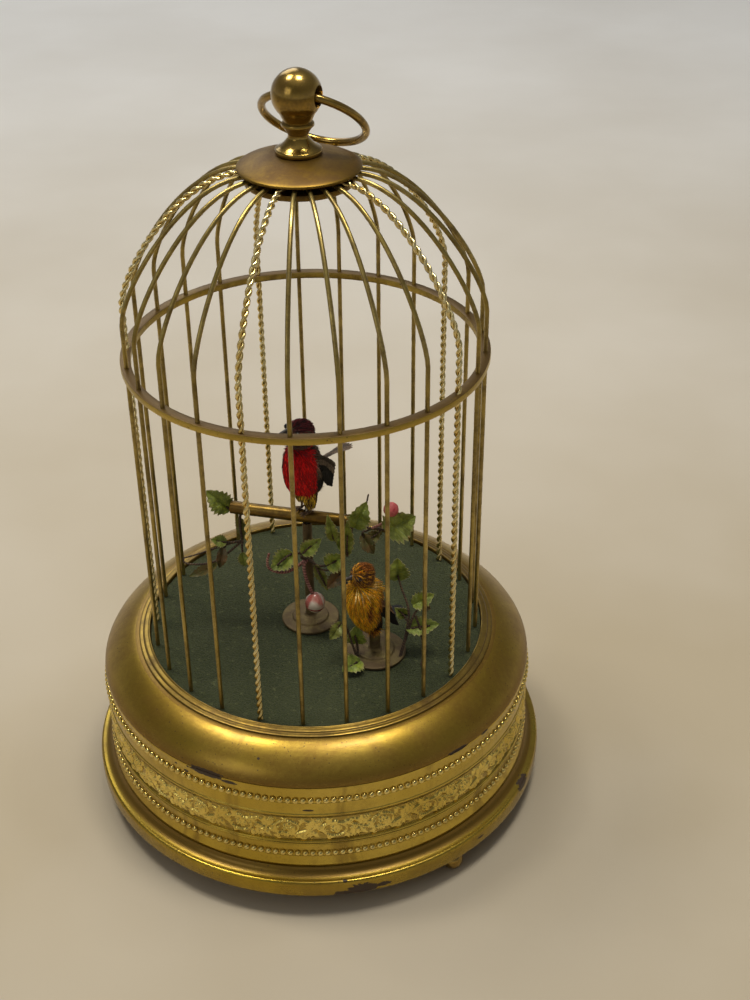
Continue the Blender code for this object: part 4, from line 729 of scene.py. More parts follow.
def roundTree():
    tree, given, sockets = startTree("copiesRoundAxis", [("Count", "Int")])
    copies = copiesRound(tree, given["Geometry"], given["Count"])
    whole = firstOf(tree, "GeometryNodeRealizeInstances", {"Geometry": copies})
    whole = firstOf(tree, "GeometryNodeMergeByDistance", {"Geometry": whole, "Distance": 0.000002})
    endTree(tree, whole, given, smooth=False)
    return tree, sockets


def circleOf(tree, radius, sides):
    return firstOf(tree, "GeometryNodeCurvePrimitiveCircle", {"Resolution": sides, "Radius": radius})


def tubeFrom(tree, curve, radius, sides):
    inputs = {"Curve": curve, "Profile Curve": circleOf(tree, radius, sides), "Fill Caps": True}
    return firstOf(tree, "GeometryNodeCurveToMesh", inputs)


def wireTree():  # plain wires bent to a path, copied round the axis
    tree, given, sockets = startTree("wires", [("Radius", "Float"), ("Sides", "Int"), ("Count", "Int")])
    curve = firstOf(tree, "GeometryNodeMeshToCurve", {"Mesh": given["Geometry"]})
    tube = tubeFrom(tree, curve, given["Radius"], given["Sides"])
    endTree(tree, copiesRound(tree, tube, given["Count"]), given)
    return tree, sockets


def twistTree():  # two strands twisted together along a path
    lengths = [(label, "Float") for label in ("Strand", "Offset", "Pitch", "Step")]
    tree, given, sockets = startTree("twistedWires", [*lengths, ("Sides", "Int"), ("Count", "Int")])
    curve = firstOf(tree, "GeometryNodeMeshToCurve", {"Mesh": given["Geometry"]})
    inputs = {"Curve": curve, "Length": given["Step"]}
    curve = firstOf(tree, "GeometryNodeResampleCurve", inputs, mode="LENGTH")
    walked = added(tree, "GeometryNodeSplineParameter").outputs["Length"]
    turns = times(tree, worked(tree, "DIVIDE", walked, given["Pitch"]), tau)
    normal = firstOf(tree, "GeometryNodeInputNormal")
    tangent = firstOf(tree, "GeometryNodeInputTangent")
    both = added(tree, "GeometryNodeJoinGeometry")
    for phase in (0.0, pi):
        angle = plus(tree, turns, phase)
        out = firstOf(tree, "ShaderNodeVectorRotate", {"Vector": normal, "Axis": tangent, "Angle": angle})
        step = firstOf(tree, "ShaderNodeVectorMath", {0: out, "Scale": given["Offset"]}, operation="SCALE")
        strand = firstOf(tree, "GeometryNodeSetPosition", {"Geometry": curve, "Offset": step})
        tree.links.new(tubeFrom(tree, strand, given["Strand"], given["Sides"]), both.inputs[0])
    endTree(tree, copiesRound(tree, both.outputs[0], given["Count"]), given)
    return tree, sockets


def withValue(tree, geometry, name, value):  # the geometry with a named value on it
    inputs = {"Geometry": geometry, "Name": name, "Value": value}
    return firstOf(tree, "GeometryNodeStoreNamedAttribute", inputs, data_type="FLOAT")


def stemTree():  # thread-wound stems along smooth paths, thinner where "thick" says so
    tree, given, sockets = startTree("stems", [("Radius", "Float"), ("Sides", "Int")])
    curve = firstOf(tree, "GeometryNodeMeshToCurve", {"Mesh": given["Geometry"]})
    thick = firstOf(tree, "GeometryNodeInputNamedAttribute", {"Name": "thick"}, data_type="FLOAT")
    curve = firstOf(tree, "GeometryNodeSetCurveRadius", {"Curve": curve, "Radius": thick})
    curve = withValue(tree, curve, "along", added(tree, "GeometryNodeSplineParameter").outputs["Length"])
    profile = circleOf(tree, given["Radius"], given["Sides"])
    profile = withValue(tree, profile, "around", added(tree, "GeometryNodeSplineParameter").outputs["Factor"])
    inputs = {"Curve": curve, "Profile Curve": profile, "Scale": thick, "Fill Caps": True}
    endTree(tree, firstOf(tree, "GeometryNodeCurveToMesh", inputs), given)
    return tree, sockets


def randomBetween(tree, low, high, seed):  # 2, 3 and 1 are the plain number's sockets
    inputs = {2: low, 3: high, "Seed": seed}
    return added(tree, "FunctionNodeRandomValue", inputs, data_type="FLOAT").outputs[1]


def scatterTree():  # small blades set on a surface, along its "flow"
    numbers = [(label, "Float") for label in ("Lift", "Spread", "Vary")]
    tree, given, sockets = startTree(
        "bladesOnSurface",
        [("Blade", "Object"), ("Density", "Float"), ("Seed", "Int"), ("Size", "Vector"), *numbers],
    )
    inputs = {"Mesh": given["Geometry"], "Density": given["Density"], "Seed": given["Seed"]}
    points = added(tree, "GeometryNodeDistributePointsOnFaces", inputs)
    flow = firstOf(tree, "GeometryNodeInputNamedAttribute", {"Name": "flow"}, data_type="FLOAT_VECTOR")
    align = "FunctionNodeAlignRotationToVector"
    upright = firstOf(tree, align, {"Vector": points.outputs["Normal"]}, axis="Z")
    laid = firstOf(tree, align, {"Rotation": upright, "Vector": flow}, axis="X", pivot_axis="Z")
    swing = randomBetween(tree, times(tree, given["Spread"], -1.0), given["Spread"], 3)
    jitter = randomBetween(tree, 0.4, 1.3, 4)
    tilt = times(tree, times(tree, given["Lift"], -1.0), jitter)
    local = firstOf(tree, "ShaderNodeCombineXYZ", {"Y": tilt, "Z": swing})
    inputs = {"Rotation": laid, "Rotate By": local}
    turned = firstOf(tree, "FunctionNodeRotateRotation", inputs, rotation_space="LOCAL")
    growth = randomBetween(tree, minus(tree, 1.0, given["Vary"]), plus(tree, 1.0, given["Vary"]), 5)
    size = firstOf(tree, "ShaderNodeVectorMath", {0: given["Size"], "Scale": growth}, operation="SCALE")
    blade = added(tree, "GeometryNodeObjectInfo", {"Object": given["Blade"]}).outputs["Geometry"]
    inputs = {"Points": points.outputs["Points"], "Instance": blade, "Rotation": turned, "Scale": size}
    endTree(tree, firstOf(tree, "GeometryNodeInstanceOnPoints", inputs), given, smooth=False)
    return tree, sockets


def grown(piece, treeAndSockets, values):
    tree, sockets = treeAndSockets
    step = piece.modifiers.new(tree.name, "NODES")
    step.node_group = tree
    for label, value in values.items():
        step[sockets[label]] = value
    plainMesh(piece)
    return piece


def pathObject(name, paths, thick=None):
    mesh = bpy.data.meshes.new(name)
    verts, edges = [], []
    for path in paths:
        start = len(verts)
        verts += [tuple(point) for point in path]
        edges += [(start + i, start + i + 1) for i in range(len(path) - 1)]
    mesh.from_pydata(verts, edges, [])
    if thick:
        layer = mesh.attributes.new("thick", "FLOAT", "POINT")
        layer.data.foreach_set("value", [value for row in thick for value in row])
    return linked(name, mesh)


def curved(points, steps):  # a smooth line through points
    points = [Vector(point) for point in points]
    padded = [2 * points[0] - points[1]] + points + [2 * points[-1] - points[-2]]
    found = []
    for a, b, c, d in zip(padded, padded[1:], padded[2:], padded[3:]):
        square, cube = 2 * a - 5 * b + 4 * c - d, 3 * b - a - 3 * c + d
        for i in range(steps):
            t = i / steps
            found.append(0.5 * ((2 * b) + (c - a) * t + square * t**2 + cube * t**3))
    return found + [points[-1]]


def onAzimuth(radius, z, azimuth):
    return Vector((radius * sin(azimuth), -radius * cos(azimuth), z))


# Base

footLook = {
    "radius": 0.0853, "low": 0.00772, "flangeTop": 0.01482, "neck": 0.0802, "top": 0.01752,
    "bore": 0.0765, "seat": 0.0786, "seatLevel": 0.01572, "chamfer": 0.0010, "hollow": 0.01525,
}

ballLook = {"radius": 0.0039, "flat": 0.0012, "circle": 0.0805, "azimuth": radians(37.8), "count": 3}


def addFoot():
    look = footLook
    flange, neck, top = look["radius"], look["neck"], look["top"]
    low, edge, chamfer = look["low"], look["flangeTop"], look["chamfer"]
    profile = [
        (look["bore"], look["seatLevel"]), (look["bore"], low), (flange - chamfer, low),
        (flange, low + chamfer), (flange, edge - 0.0009), (flange - 0.0005, edge - 0.0001),
        (flange - 0.0012, edge),
    ]
    start, end = Vector((flange - 0.0014, edge)), Vector((neck, top))
    bend = Vector((neck + 0.0006, look["hollow"]))
    for i in range(9):
        t = i / 8
        profile.append(tuple(start * (1 - t) ** 2 + bend * 2 * t * (1 - t) + end * t**2))
    profile += [(look["seat"], top), (look["seat"], look["seatLevel"])]
    lathed("footRing", profile, 192, 0.0004, agedBrass("footBrass"), "brass", "base_foot")

    look = ballLook
    radius = look["radius"]
    middle = (radius**2 - look["flat"] ** 2) ** 0.5
    arc = [radians(18) + radians(144) * i / 14 for i in range(15)]
    profile = [(0, 0)] + [(radius * sin(a), middle - radius * cos(a)) for a in arc] + [(0, 2 * middle)]
    spot = onAzimuth(look["circle"], 0, look["azimuth"])
    ball = shown(latheMesh(profile, 32, 0, (spot.x, spot.y)), "ballFeet", agedBrass("finialBrass"))
    grown(ball, roundTree(), {"Count": look["count"], "Material": ball.data.materials[0]})
    settled(ball, root, "brass", "ball_foot_1", "ball_foot_2", "ball_foot_3")


bandLook = {
    "radius": 0.0793, "low": 0.01782, "top": 0.05412, "inner": 0.0777,
    "beads": 192, "beadRadius": 0.00118, "beadCircle": 0.07918, "beadLevels": (0.02350, 0.04850),
    "beadArc": radians(112), "beadRings": 6, "beadSides": 12,
    "flare": (  # height above the lower edge, and how far it stands out there
        (0.0, 0.00075), (0.0004, 0.00090), (0.0011, 0.00090), (0.0017, 0.00070), (0.0024, 0.00044),
        (0.0032, 0.00020), (0.0040, 0.00005),
    ),
    "ridges": ((0.02755, 0.02845, 0.00030), (0.02880, 0.02975, 0.00050), (0.04120, 0.04235, 0.00035)),
}


def channel(level, face):  # the groove that a row of beads lies in
    floor = face - 0.00016
    wide, narrow = 0.00135, 0.00122
    return [(face, level - wide), (floor, level - narrow), (floor, level + narrow), (face, level + wide)]


def addBand():
    look = bandLook
    face, low, top = look["radius"], look["low"], look["top"]
    lowBeads, highBeads = look["beadLevels"]
    ridges = [ridge(start, end, face, rise) for start, end, rise in look["ridges"]]
    profile = [(look["inner"], top), (look["inner"], low)]
    profile += [(face + out, low + rise) for rise, out in look["flare"]]
    profile += channel(lowBeads, face) + [(face, 0.02720)] + ridges[0]
    profile += [(face - 0.0001, 0.02865)] + ridges[1]
    profile += [(face - 0.00040, 0.02992), (face - 0.0002, 0.03020), (face - 0.0002, 0.04015)]
    profile += [(face - 0.00050, 0.04040), (face - 0.0001, 0.04075)] + ridges[2]
    profile += [(face, 0.04260)] + channel(highBeads, face)
    profile += [(face, 0.05120), (face + 0.00010, 0.05250), (face + 0.00020, 0.05350), (face + 0.0001, top)]
    lathed("band", profile, 240, 0.00012, agedBrass("bandBrass"), "brass", "base_band")

    rows = []
    sides, last = look["beadSides"], look["beadRings"] - 1
    for level in look["beadLevels"]:
        bm = bmesh.new()
        rings = []
        for i in range(look["beadRings"]):
            a = look["beadArc"] * i / last
            out, across = look["beadRadius"] * cos(a), look["beadRadius"] * sin(a)
            turns = [tau * k / sides for k in range(sides if i else 1)]
            ring = [(across * cos(turn), across * sin(turn)) for turn in turns]
            rings.append([bm.verts.new((x, -look["beadCircle"] - out, level + z)) for x, z in ring])
        for near, far in zip(rings, rings[1:]):
            for k in range(sides):
                j = (k + 1) % sides
                corners = (near[0], far[k], far[j]) if len(near) == 1 else (near[k], far[k], far[j], near[j])
                bm.faces.new(corners)
        bm.faces.new(rings[-1])
        rows.append(bm)
    beads = shown(joined(*rows), "beadRows", agedBrass("beadBrass"), 80)
    grown(beads, roundTree(), {"Count": look["beads"], "Material": beads.data.materials[0]})
    settled(beads, root, "brass", "base_band")


friezeLook = {
    "repeats": 15, "low": 0.03010, "height": 0.0102, "ground": 0.0791, "back": 0.0783, "relief": 0.00090,
    "columns": 132, "rows": 40, "swing": 0.0026, "stem": 0.00062, "grain": 0.10,
    "rose": (0.0023, 5), "smallRose": (0.0016, 6),  # radius and petals
    "curlLeaf": (0.0036, 0.0022, 2), "stemLeaf": (0.0044, 0.0026, 3),  # length, width and lobes
    "fanLeaf": (0.0042, 0.0021, 2),
}


def leafRise(u, v, leaf):  # height of one embossed leaf at a point, as a share of the relief
    footU, footV, angle, length, width, lobes = leaf
    du, dv = u - footU, v - footV
    along, across = du * cos(angle) + dv * sin(angle), dv * cos(angle) - du * sin(angle)
    across += 0.16 * length * sin(pi * along / length)
    if not 0 < along < length:
        return 0.0
    t = along / length
    half = width / 2 * sin(pi * t**0.75) * (1 + 0.28 * cos(lobes * tau * t))
    if abs(across) >= half or half < 1e-6:
        return 0.0
    s = abs(across) / half
    return (1 - s) ** 0.75 * (1.0 - 0.35 * t) * (1 - 0.30 * cos(2 * lobes * tau * t) ** 2 * s)


def roseRise(u, v, rose):
    hubU, hubV, radius, petals = rose
    du, dv = u - hubU, v - hubV
    reach = hypot(du, dv) / radius
    if reach >= 1:
        return 0.0
    turn = Vector((du, dv)).angle_signed(Vector((1, 0)), 0.0) if reach > 1e-4 else 0.0
    knob = max(0.0, 1 - (reach / 0.30) ** 2) ** 0.5
    petal = abs(cos(petals * turn / 2)) * sin(pi * min(1.0, reach * 1.08) ** 1.3) ** 0.8
    return max(knob, 0.85 * petal)


def friezeForms():
    look = friezeLook
    span, middle, swing = tau * look["ground"] / look["repeats"], look["height"] / 2, look["swing"]
    paths = [[(span * (i - 6) / 48, middle + swing * sin(tau * (i - 6) / 48)) for i in range(61)]]
    leaves, roses = [], []
    for share, side in ((0.25, -1), (0.75, 1)):  # in each bend a rose, a curl and five leaves
        hub = (span * share, middle + side * 0.0004)
        curl = []
        for i in range(31):
            a = side * (pi / 2 - tau * 1.10 * i / 30)
            reach = 0.0040 - 0.0014 * i / 30
            curl.append((hub[0] - reach * cos(a) * 1.20, hub[1] - reach * sin(a) * 0.92))
        paths.append(curl)
        roses.append((*hub, *look["rose"]))
        for k in range(5):
            a = side * (0.55 + 1.15 * k)
            foot = (hub[0] + 0.0046 * cos(a), hub[1] + 0.0032 * sin(a))
            leaves.append((*foot, a + side * 0.7, *look["curlLeaf"]))
    for k in range(10):  # leaves along the stem
        share = (k + 0.5) / 10
        side = 1 if k % 2 else -1
        foot = (span * share, middle + swing * sin(tau * share))
        leaves.append((*foot, side * radians(58) + 0.6 * cos(tau * share), *look["stemLeaf"]))
    for share in (0.0, 0.5, 1.0):  # fans of leaves and small roses between the bends
        for side in (-1, 1):
            roses.append((span * (share + 0.075 * side), middle + side * 0.0033, *look["smallRose"]))
            for fan in (-0.8, 0.0, 0.8):
                foot = (span * share, middle + side * 0.0010)
                leaves.append((*foot, side * (pi / 2 - fan), *look["fanLeaf"]))
    return paths, leaves, roses


def addFrieze():
    look = friezeLook
    paths, leaves, roses = friezeForms()
    span, count, rows = tau / look["repeats"], look["columns"], look["rows"]
    loops = []
    bm = bmesh.new()
    for i in range(count + 1):
        share = i % count / count
        circling = cos(tau * share) * 9, sin(tau * share) * 9
        u = share * span * look["ground"]
        near = []  # the stem's points that can reach this column
        for path in paths:
            for k, (pu, pv) in enumerate(path):
                for shift in (-1, 0, 1):
                    if abs(pu + shift * span * look["ground"] - u) < look["stem"]:
                        near.append((pu + shift * span * look["ground"], pv, 1.0 - 0.35 * k / len(path)))
        loop = []
        for j in range(rows + 1):
            v = look["height"] * j / rows
            rise = 0.0
            for pu, pv, thick in near:
                reach = hypot(pu - u, pv - v) / (look["stem"] * thick)
                if reach < 1:
                    rise = max(rise, 0.9 * (1 - reach**2) ** 0.5)
            for shift in (-1, 0, 1):
                x = u + shift * span * look["ground"]
                rises = [leafRise(x, v, leaf) for leaf in leaves] + [roseRise(x, v, rose) for rose in roses]
                rise = max(rise, *rises)
            edge = min(1.0, min(v, look["height"] - v) / 0.0003)
            grain = look["grain"] * noise.noise(Vector((*circling, v * 2600)))
            radius = look["ground"] + look["relief"] * edge * max(rise + grain * (0.4 + rise), -0.05)
            loop.append(bm.verts.new(onAzimuth(radius, look["low"] + v, i / count * span)))
        for v in (look["height"], 0.0):
            loop.append(bm.verts.new(onAzimuth(look["back"], look["low"] + v, i / count * span)))
        loops.append(loop)
    for near, far in zip(loops, loops[1:]):
        for j in range(len(near)):
            k = (j + 1) % len(near)
            bm.faces.new((near[j], far[j], far[k], near[k]))
    mesh = meshFrom(bm, "friezeScrolls")
    mesh.shade_smooth()
    mesh.materials.append(agedBrass("friezeBrass"))
    piece = linked("friezeScrolls", mesh)
    grown(piece, roundTree(), {"Count": look["repeats"], "Material": mesh.materials[0]})
    settled(piece, root, "brass", "base_band")


shoulderLook = {
    "radius": 0.0795, "low": 0.05442, "height": 0.0101, "topRadius": 0.0662, "round": 1.45, "wall": 0.0020,
    "inner": 0.0638, "rimBore": 0.0618, "rimWall": 0.0017, "rimTop": 0.06622, "lip": 0.0602,
    "lipTop": 0.06162, "lipLow": 0.06042,
}


def addShoulder():
    look = shoulderLook
    reach, low, rise = look["radius"] - look["topRadius"], look["low"], look["height"]
    power = 2 / look["round"]
    outer = [(look["radius"], low)]
    for i in range(24):
        a = radians(4) + radians(86) * i / 23
        outer.append((look["topRadius"] + reach * max(cos(a), 0) ** power, low + rise * sin(a) ** power))
    wall, inner = look["wall"], look["inner"]
    hollow = [
        (inner, low + rise), (inner, low + rise - wall),
        (look["topRadius"] + (reach - wall) / 2, low + (rise - wall) / 2), (look["radius"] - wall, low),
    ]
    finish = agedBrass("shoulderBrass")
    lathed("shoulder", outer + hollow, 200, 0.0003, finish, "brass", "base_shoulder")

    seat, bore, top = low + rise + 0.0003, look["rimBore"], look["rimTop"]
    neck, foot = bore + look["rimWall"], look["topRadius"] - 0.0003
    step = (bore + foot) / 2 + 0.0003
    profile = [
        (neck, look["lipLow"]), (neck, seat), (foot, seat), (foot, seat + 0.00018),
        (foot - 0.0004, seat + 0.00036), (foot - 0.0010, seat + 0.00042), (step + 0.0003, seat + 0.00044),
        (step + 0.00008, seat + 0.00062), (step - 0.0001, seat + 0.00086), (step - 0.0006, seat + 0.00100),
        (bore + 0.0008, seat + 0.00108), (bore + 0.0006, top - 0.00012), (bore + 0.0003, top),
        (bore, top - 0.0002), (bore, look["lipTop"]), (look["lip"], look["lipTop"]),
        (look["lip"], look["lipLow"]),
    ]
    lathed("floorRim", profile, 200, 0.00012, agedBrass("rimBrass"), "patinated_brass", "floor_rim")


floorDisc = {"radius": 0.0615, "low": 0.06192, "top": 0.06492, "wobble": 0.00022, "rings": 36}


def addFlockedFloor():
    radius, low, top, rings = (floorDisc[name] for name in ("radius", "low", "top", "rings"))
    profile = [(0, low), (radius, low), (radius, top)]
    profile += [(radius * (1 - i / rings), top) for i in range(1, rings)] + [(0, top)]
    bm = latheMesh(profile, 120, 0)
    for vert in bm.verts:
        if vert.co.z > top - 1e-5 and hypot(vert.co.x, vert.co.y) < radius - 0.001:
            vert.co.z += floorDisc["wobble"] * (noise.noise(vert.co * 130) - 0.5)
    disc = shown(bm, "flockedFloor", flockFinish("flockGround", 0.7))

    blade = bmesh.new()
    points = [blade.verts.new(p) for p in ((0, -0.5, -0.1), (0, 0.5, -0.1), (0, 0, 0.4), (1, 0, 0.15))]
    for a, b, c in ((0, 2, 1), (0, 1, 3), (1, 2, 3), (2, 0, 3)):
        blade.faces.new((points[a], points[b], points[c]))
    fibreFinish = flockFinish("flockFibre", 1.0)
    fibre = shown(blade, "fibre", fibreFinish, smooth=False)
    area = pi * radius**2
    mat = linked("flockFibres", disc.data.copy())
    bm = bmesh.new()
    bm.from_mesh(mat.data)
    hidden = [
        face for face in bm.faces if face.normal.z <= 0.7 or hypot(*face.calc_center_median().xy) >= radius
    ]
    bmesh.ops.delete(bm, geom=hidden, context="FACES")
    bm.to_mesh(mat.data)
    bm.free()
    flow = mat.data.attributes.new("flow", "FLOAT_VECTOR", "POINT")
    for i, vert in enumerate(mat.data.vertices):
        flow.data[i].vector = (cos(9 * vert.co.x / radius), sin(7 * vert.co.y / radius), 0.0)
    look = flockLook
    size = (look["fibreLength"], look["fibreWidth"], look["fibreWidth"])
    values = {"Blade": fibre, "Density": look["fibres"] / area, "Seed": look["seed"], "Size": size}
    values |= {"Lift": look["lift"], "Spread": look["spread"], "Vary": look["vary"], "Material": fibreFinish}
    grown(mat, scatterTree(), values)
    bpy.data.objects.remove(fibre, do_unlink=True)
    settled(disc, root, "green_flock", "cage_floor")
    settled(mat, root, "green_flock", "cage_floor")


# Cage

wireLook = {
    "bars": 25, "twistedEvery": 5, "azimuth": radians(-17.0), "circle": 0.0596, "foot": 0.06522,
    "straight": 0.1289, "domeHeight": 0.0451, "upHandle": 0.0100, "inHandle": 0.0214, "crown": 0.0170,
    "hairpin": 0.0144, "corner": 0.12, "radius": 0.00076, "sides": 12, "strand": 0.00058,
    "strandOffset": 0.00056, "strandSides": 7, "pitch": 0.0063, "twistStep": 0.0006, "twistEnd": 0.0136,
}


def domePoint(share):  # radius and height of the dome's curve
    look = wireLook
    low = look["foot"] + look["straight"]
    high = low + look["domeHeight"]
    start, end = Vector((look["circle"], low)), Vector((look["crown"], high))
    upHandle = Vector((look["circle"], low + look["upHandle"]))
    inHandle = Vector((look["crown"] + look["inHandle"], high))
    rest = 1 - share
    return start * rest**3 + upHandle * 3 * rest**2 * share + inHandle * 3 * rest * share**2 + end * share**3


def barPath(azimuth, steps):
    look = wireLook
    straight = [onAzimuth(look["circle"], look["foot"] + look["straight"] * i / 8, azimuth) for i in range(8)]
    return straight + [onAzimuth(*domePoint((i / steps) ** 0.85), azimuth) for i in range(steps + 1)]


def addWires():
    look = wireLook
    step, corner, crown, hairpin = tau / look["bars"], look["corner"], look["crown"], look["hairpin"]
    crownLevel = look["foot"] + look["straight"] + look["domeHeight"]
    near = (crown + 2 * hairpin) / 3
    turns = ((crown, 0), (near, corner), (hairpin, 0.5), (near, 1 - corner), (crown, 1))
    hairpins = []
    for index in (1, 3):
        azimuth = look["azimuth"] + step * index
        climb, fall = barPath(azimuth, 20), barPath(azimuth + step, 20)[::-1]
        bend = curved([onAzimuth(radius, crownLevel, azimuth + share * step) for radius, share in turns], 4)
        hairpins.append(climb + bend[1:-1] + fall)
    finish = agedBrass("wireBrass")
    sets = look["bars"] // look["twistedEvery"]
    bars = pathObject("plainBars", hairpins)
    values = {"Radius": look["radius"], "Sides": look["sides"], "Count": sets, "Material": finish}
    grown(bars, wireTree(), values)
    settled(bars, root, "brass", *[f"bar_pair_{number:02d}" for number in range(1, 11)])

    finish = agedBrass("twistBrass")
    path = barPath(look["azimuth"], 40) + [onAzimuth(look["twistEnd"], crownLevel, look["azimuth"])]
    twists = pathObject("twistedBars", [path])
    values = {"Strand": look["strand"], "Offset": look["strandOffset"], "Pitch": look["pitch"]}
    values |= {"Step": look["twistStep"], "Sides": look["strandSides"], "Count": sets, "Material": finish}
    grown(twists, twistTree(), values)
    settled(twists, root, "brass", *[f"twisted_bar_{number}" for number in range(1, 6)])


hoopLook = {"circle": 0.0596, "width": 0.0036, "low": 0.17682, "thickness": 0.0024}


def addHoop():
    look = hoopLook
    inner, outer = look["circle"] - look["width"] / 2, look["circle"] + look["width"] / 2
    low, top = look["low"], look["low"] + look["thickness"]
    profile = [(inner, low), (outer, low), (outer, top), (inner, top)]
    lathed("hoop", profile, 200, 0.0005, agedBrass("hoopBrass"), "patinated_brass", "cage_hoop")


crownLook = {
    "capRadius": 0.0196, "capEdgeLevel": 0.24067, "capEdge": 0.0008, "capRise": 0.0042, "seat": 0.24508,
    "bore": 0.0023, "foot": 0.00735, "waist": 0.00315, "collar": 0.00515, "ball": 0.0079,
    "ballLevel": 0.263281, "ballStart": radians(-44), "ballSteps": 22, "stem": 0.0020, "stemLow": 0.23267,
    "nutTop": 0.23777, "nutThick": 0.0019, "nutFlange": 0.0175, "nutHub": 0.0118, "nutHubTop": 0.24210,
    "sleeve": 0.0052,
}

ringLook = {
    "radius": 0.0168, "wire": 0.0013, "azimuth": radians(21.0), "droop": radians(42.61), "steps": 72,
    "sides": 12, "play": 0.0003,
}


def addCrown():
    look = crownLook
    capRadius, edge, level, bore = look["capRadius"], look["capEdge"], look["capEdgeLevel"], look["bore"]

    def top(radius):
        return level + edge + look["capRise"] * (1 - (radius / capRadius) ** 2)

    profile = [(0.0077, look["seat"]), (bore, look["seat"]), (bore, look["seat"] - edge)]
    profile += [(radius, top(radius) - edge) for radius in (0.0078, 0.0110, 0.0140, 0.0165)]
    profile += [(capRadius - edge, level), (capRadius, level), (capRadius, level + edge * 0.8)]
    profile += [(capRadius * (1 - 0.06 * i), top(capRadius * (1 - 0.06 * i))) for i in range(1, 10)]
    lathed("cap", profile, 96, 0.0002, agedBrass("capBrass"), "patinated_brass", "cap_disc")

    low, stem, stemLow = look["seat"] + 0.0003, look["stem"], look["stemLow"]
    rise = look["ballLevel"] - low
    waistLevel, collarLevel = low + 0.30 * rise, low + 0.49 * rise
    foot, waist, collar, ball = look["foot"], look["waist"], look["collar"], look["ball"]
    profile = [
        (0, stemLow), (stem, stemLow), (stem, low), (foot, low), (foot, low + 0.0011),
        (foot * 0.97, low + 0.0014), (foot * 0.86, low + 0.0018), (foot * 0.70, low + 0.0026),
        (foot * 0.57, low + 0.0036), (waist * 1.05, waistLevel - 0.0006), (waist, waistLevel + 0.0003),
        (waist * 1.12, waistLevel + 0.0012), (waist * 1.45, collarLevel - 0.0007),
        (collar, collarLevel - 0.0003), (collar, collarLevel + 0.0004), (collar * 0.93, collarLevel + 0.0008),
        (ball * 0.55, collarLevel + 0.0010),
    ]
    start, steps = look["ballStart"], look["ballSteps"]
    turns = [start + (pi / 2 - start) * i / steps for i in range(steps)]
    profile += [(ball * cos(turn), look["ballLevel"] + ball * sin(turn)) for turn in turns]
    profile.append((0, look["ballLevel"] + ball))
    finial = shown(latheMesh(profile, 64, 0.0002), "finialBall", agedBrass("finialBrass"))

    ring = ringLook
    along = Vector((cos(ring["azimuth"]), -sin(ring["azimuth"]), 0))
    centre = Vector((0, 0, look["ballLevel"]))
    reach, waistHole = ball + 0.001, ring["wire"] + ring["play"]
    mouth = waistHole + reach**2 / (2 * ring["radius"])
    hole = [(0, -reach), (mouth, -reach), (waistHole, -0.002), (waistHole, 0.002), (mouth, reach), (0, reach)]
    cutBy(finial, laidAlong(latheMesh(hole, 32, 0), centre, along))
    settled(finial, root, "brass", "finial")

    flange, hub, nutTop = look["nutFlange"], look["nutHub"], look["nutTop"]
    nutLow, hubTop, sleeve = nutTop - look["nutThick"], look["nutHubTop"], look["sleeve"]
    profile = [
        (bore, stemLow), (0.0050, stemLow), (sleeve, stemLow + 0.0004), (sleeve, nutLow),
        (flange - 0.0003, nutLow), (flange, nutTop - 0.0015), (flange, nutTop), (hub, nutTop), (hub, hubTop),
        (bore, hubTop),
    ]
    lathed("crownNut", profile, 64, 0.0002, agedBrass("perchBrass"), "brass", "crown_nut")

    back = Vector((sin(ring["azimuth"]), cos(ring["azimuth"]), 0))
    down = back * cos(ring["droop"]) - up * sin(ring["droop"])
    side = along.cross(down)
    rings = []
    for i in range(ring["steps"]):
        a = tau * i / ring["steps"]
        out = along * cos(a) + down * sin(a)
        middle = centre + ring["radius"] * (down + out)
        turns = [tau * k / ring["sides"] for k in range(ring["sides"])]
        rings.append([middle + ring["wire"] * (out * cos(turn) + side * sin(turn)) for turn in turns])
    handle = shown(loftMesh(rings, closed=True), "ringHandle", agedBrass("finialBrass"))
    settled(handle, "ring", "brass", "ring_handle")


# Perch and stands

perchLook = {
    "radius": 0.00235, "wall": 0.0006, "length": 0.0447, "level": 0.11092, "shift": 0.0060,
    "angle": radians(-13.0), "post": (-0.0020, -0.0004), "postRadius": 0.0017, "postDisc": 0.0107,
    "postTop": 0.10827,
    "stand": (0.0220, -0.0205), "standRadius": 0.0020, "standDisc": 0.0113, "standTop": 0.07472,
    "bore": 0.0010, "drill": 0.004, "foot": 0.06522, "thick": 0.0010, "step": 0.0006, "stepShare": 0.63,
}


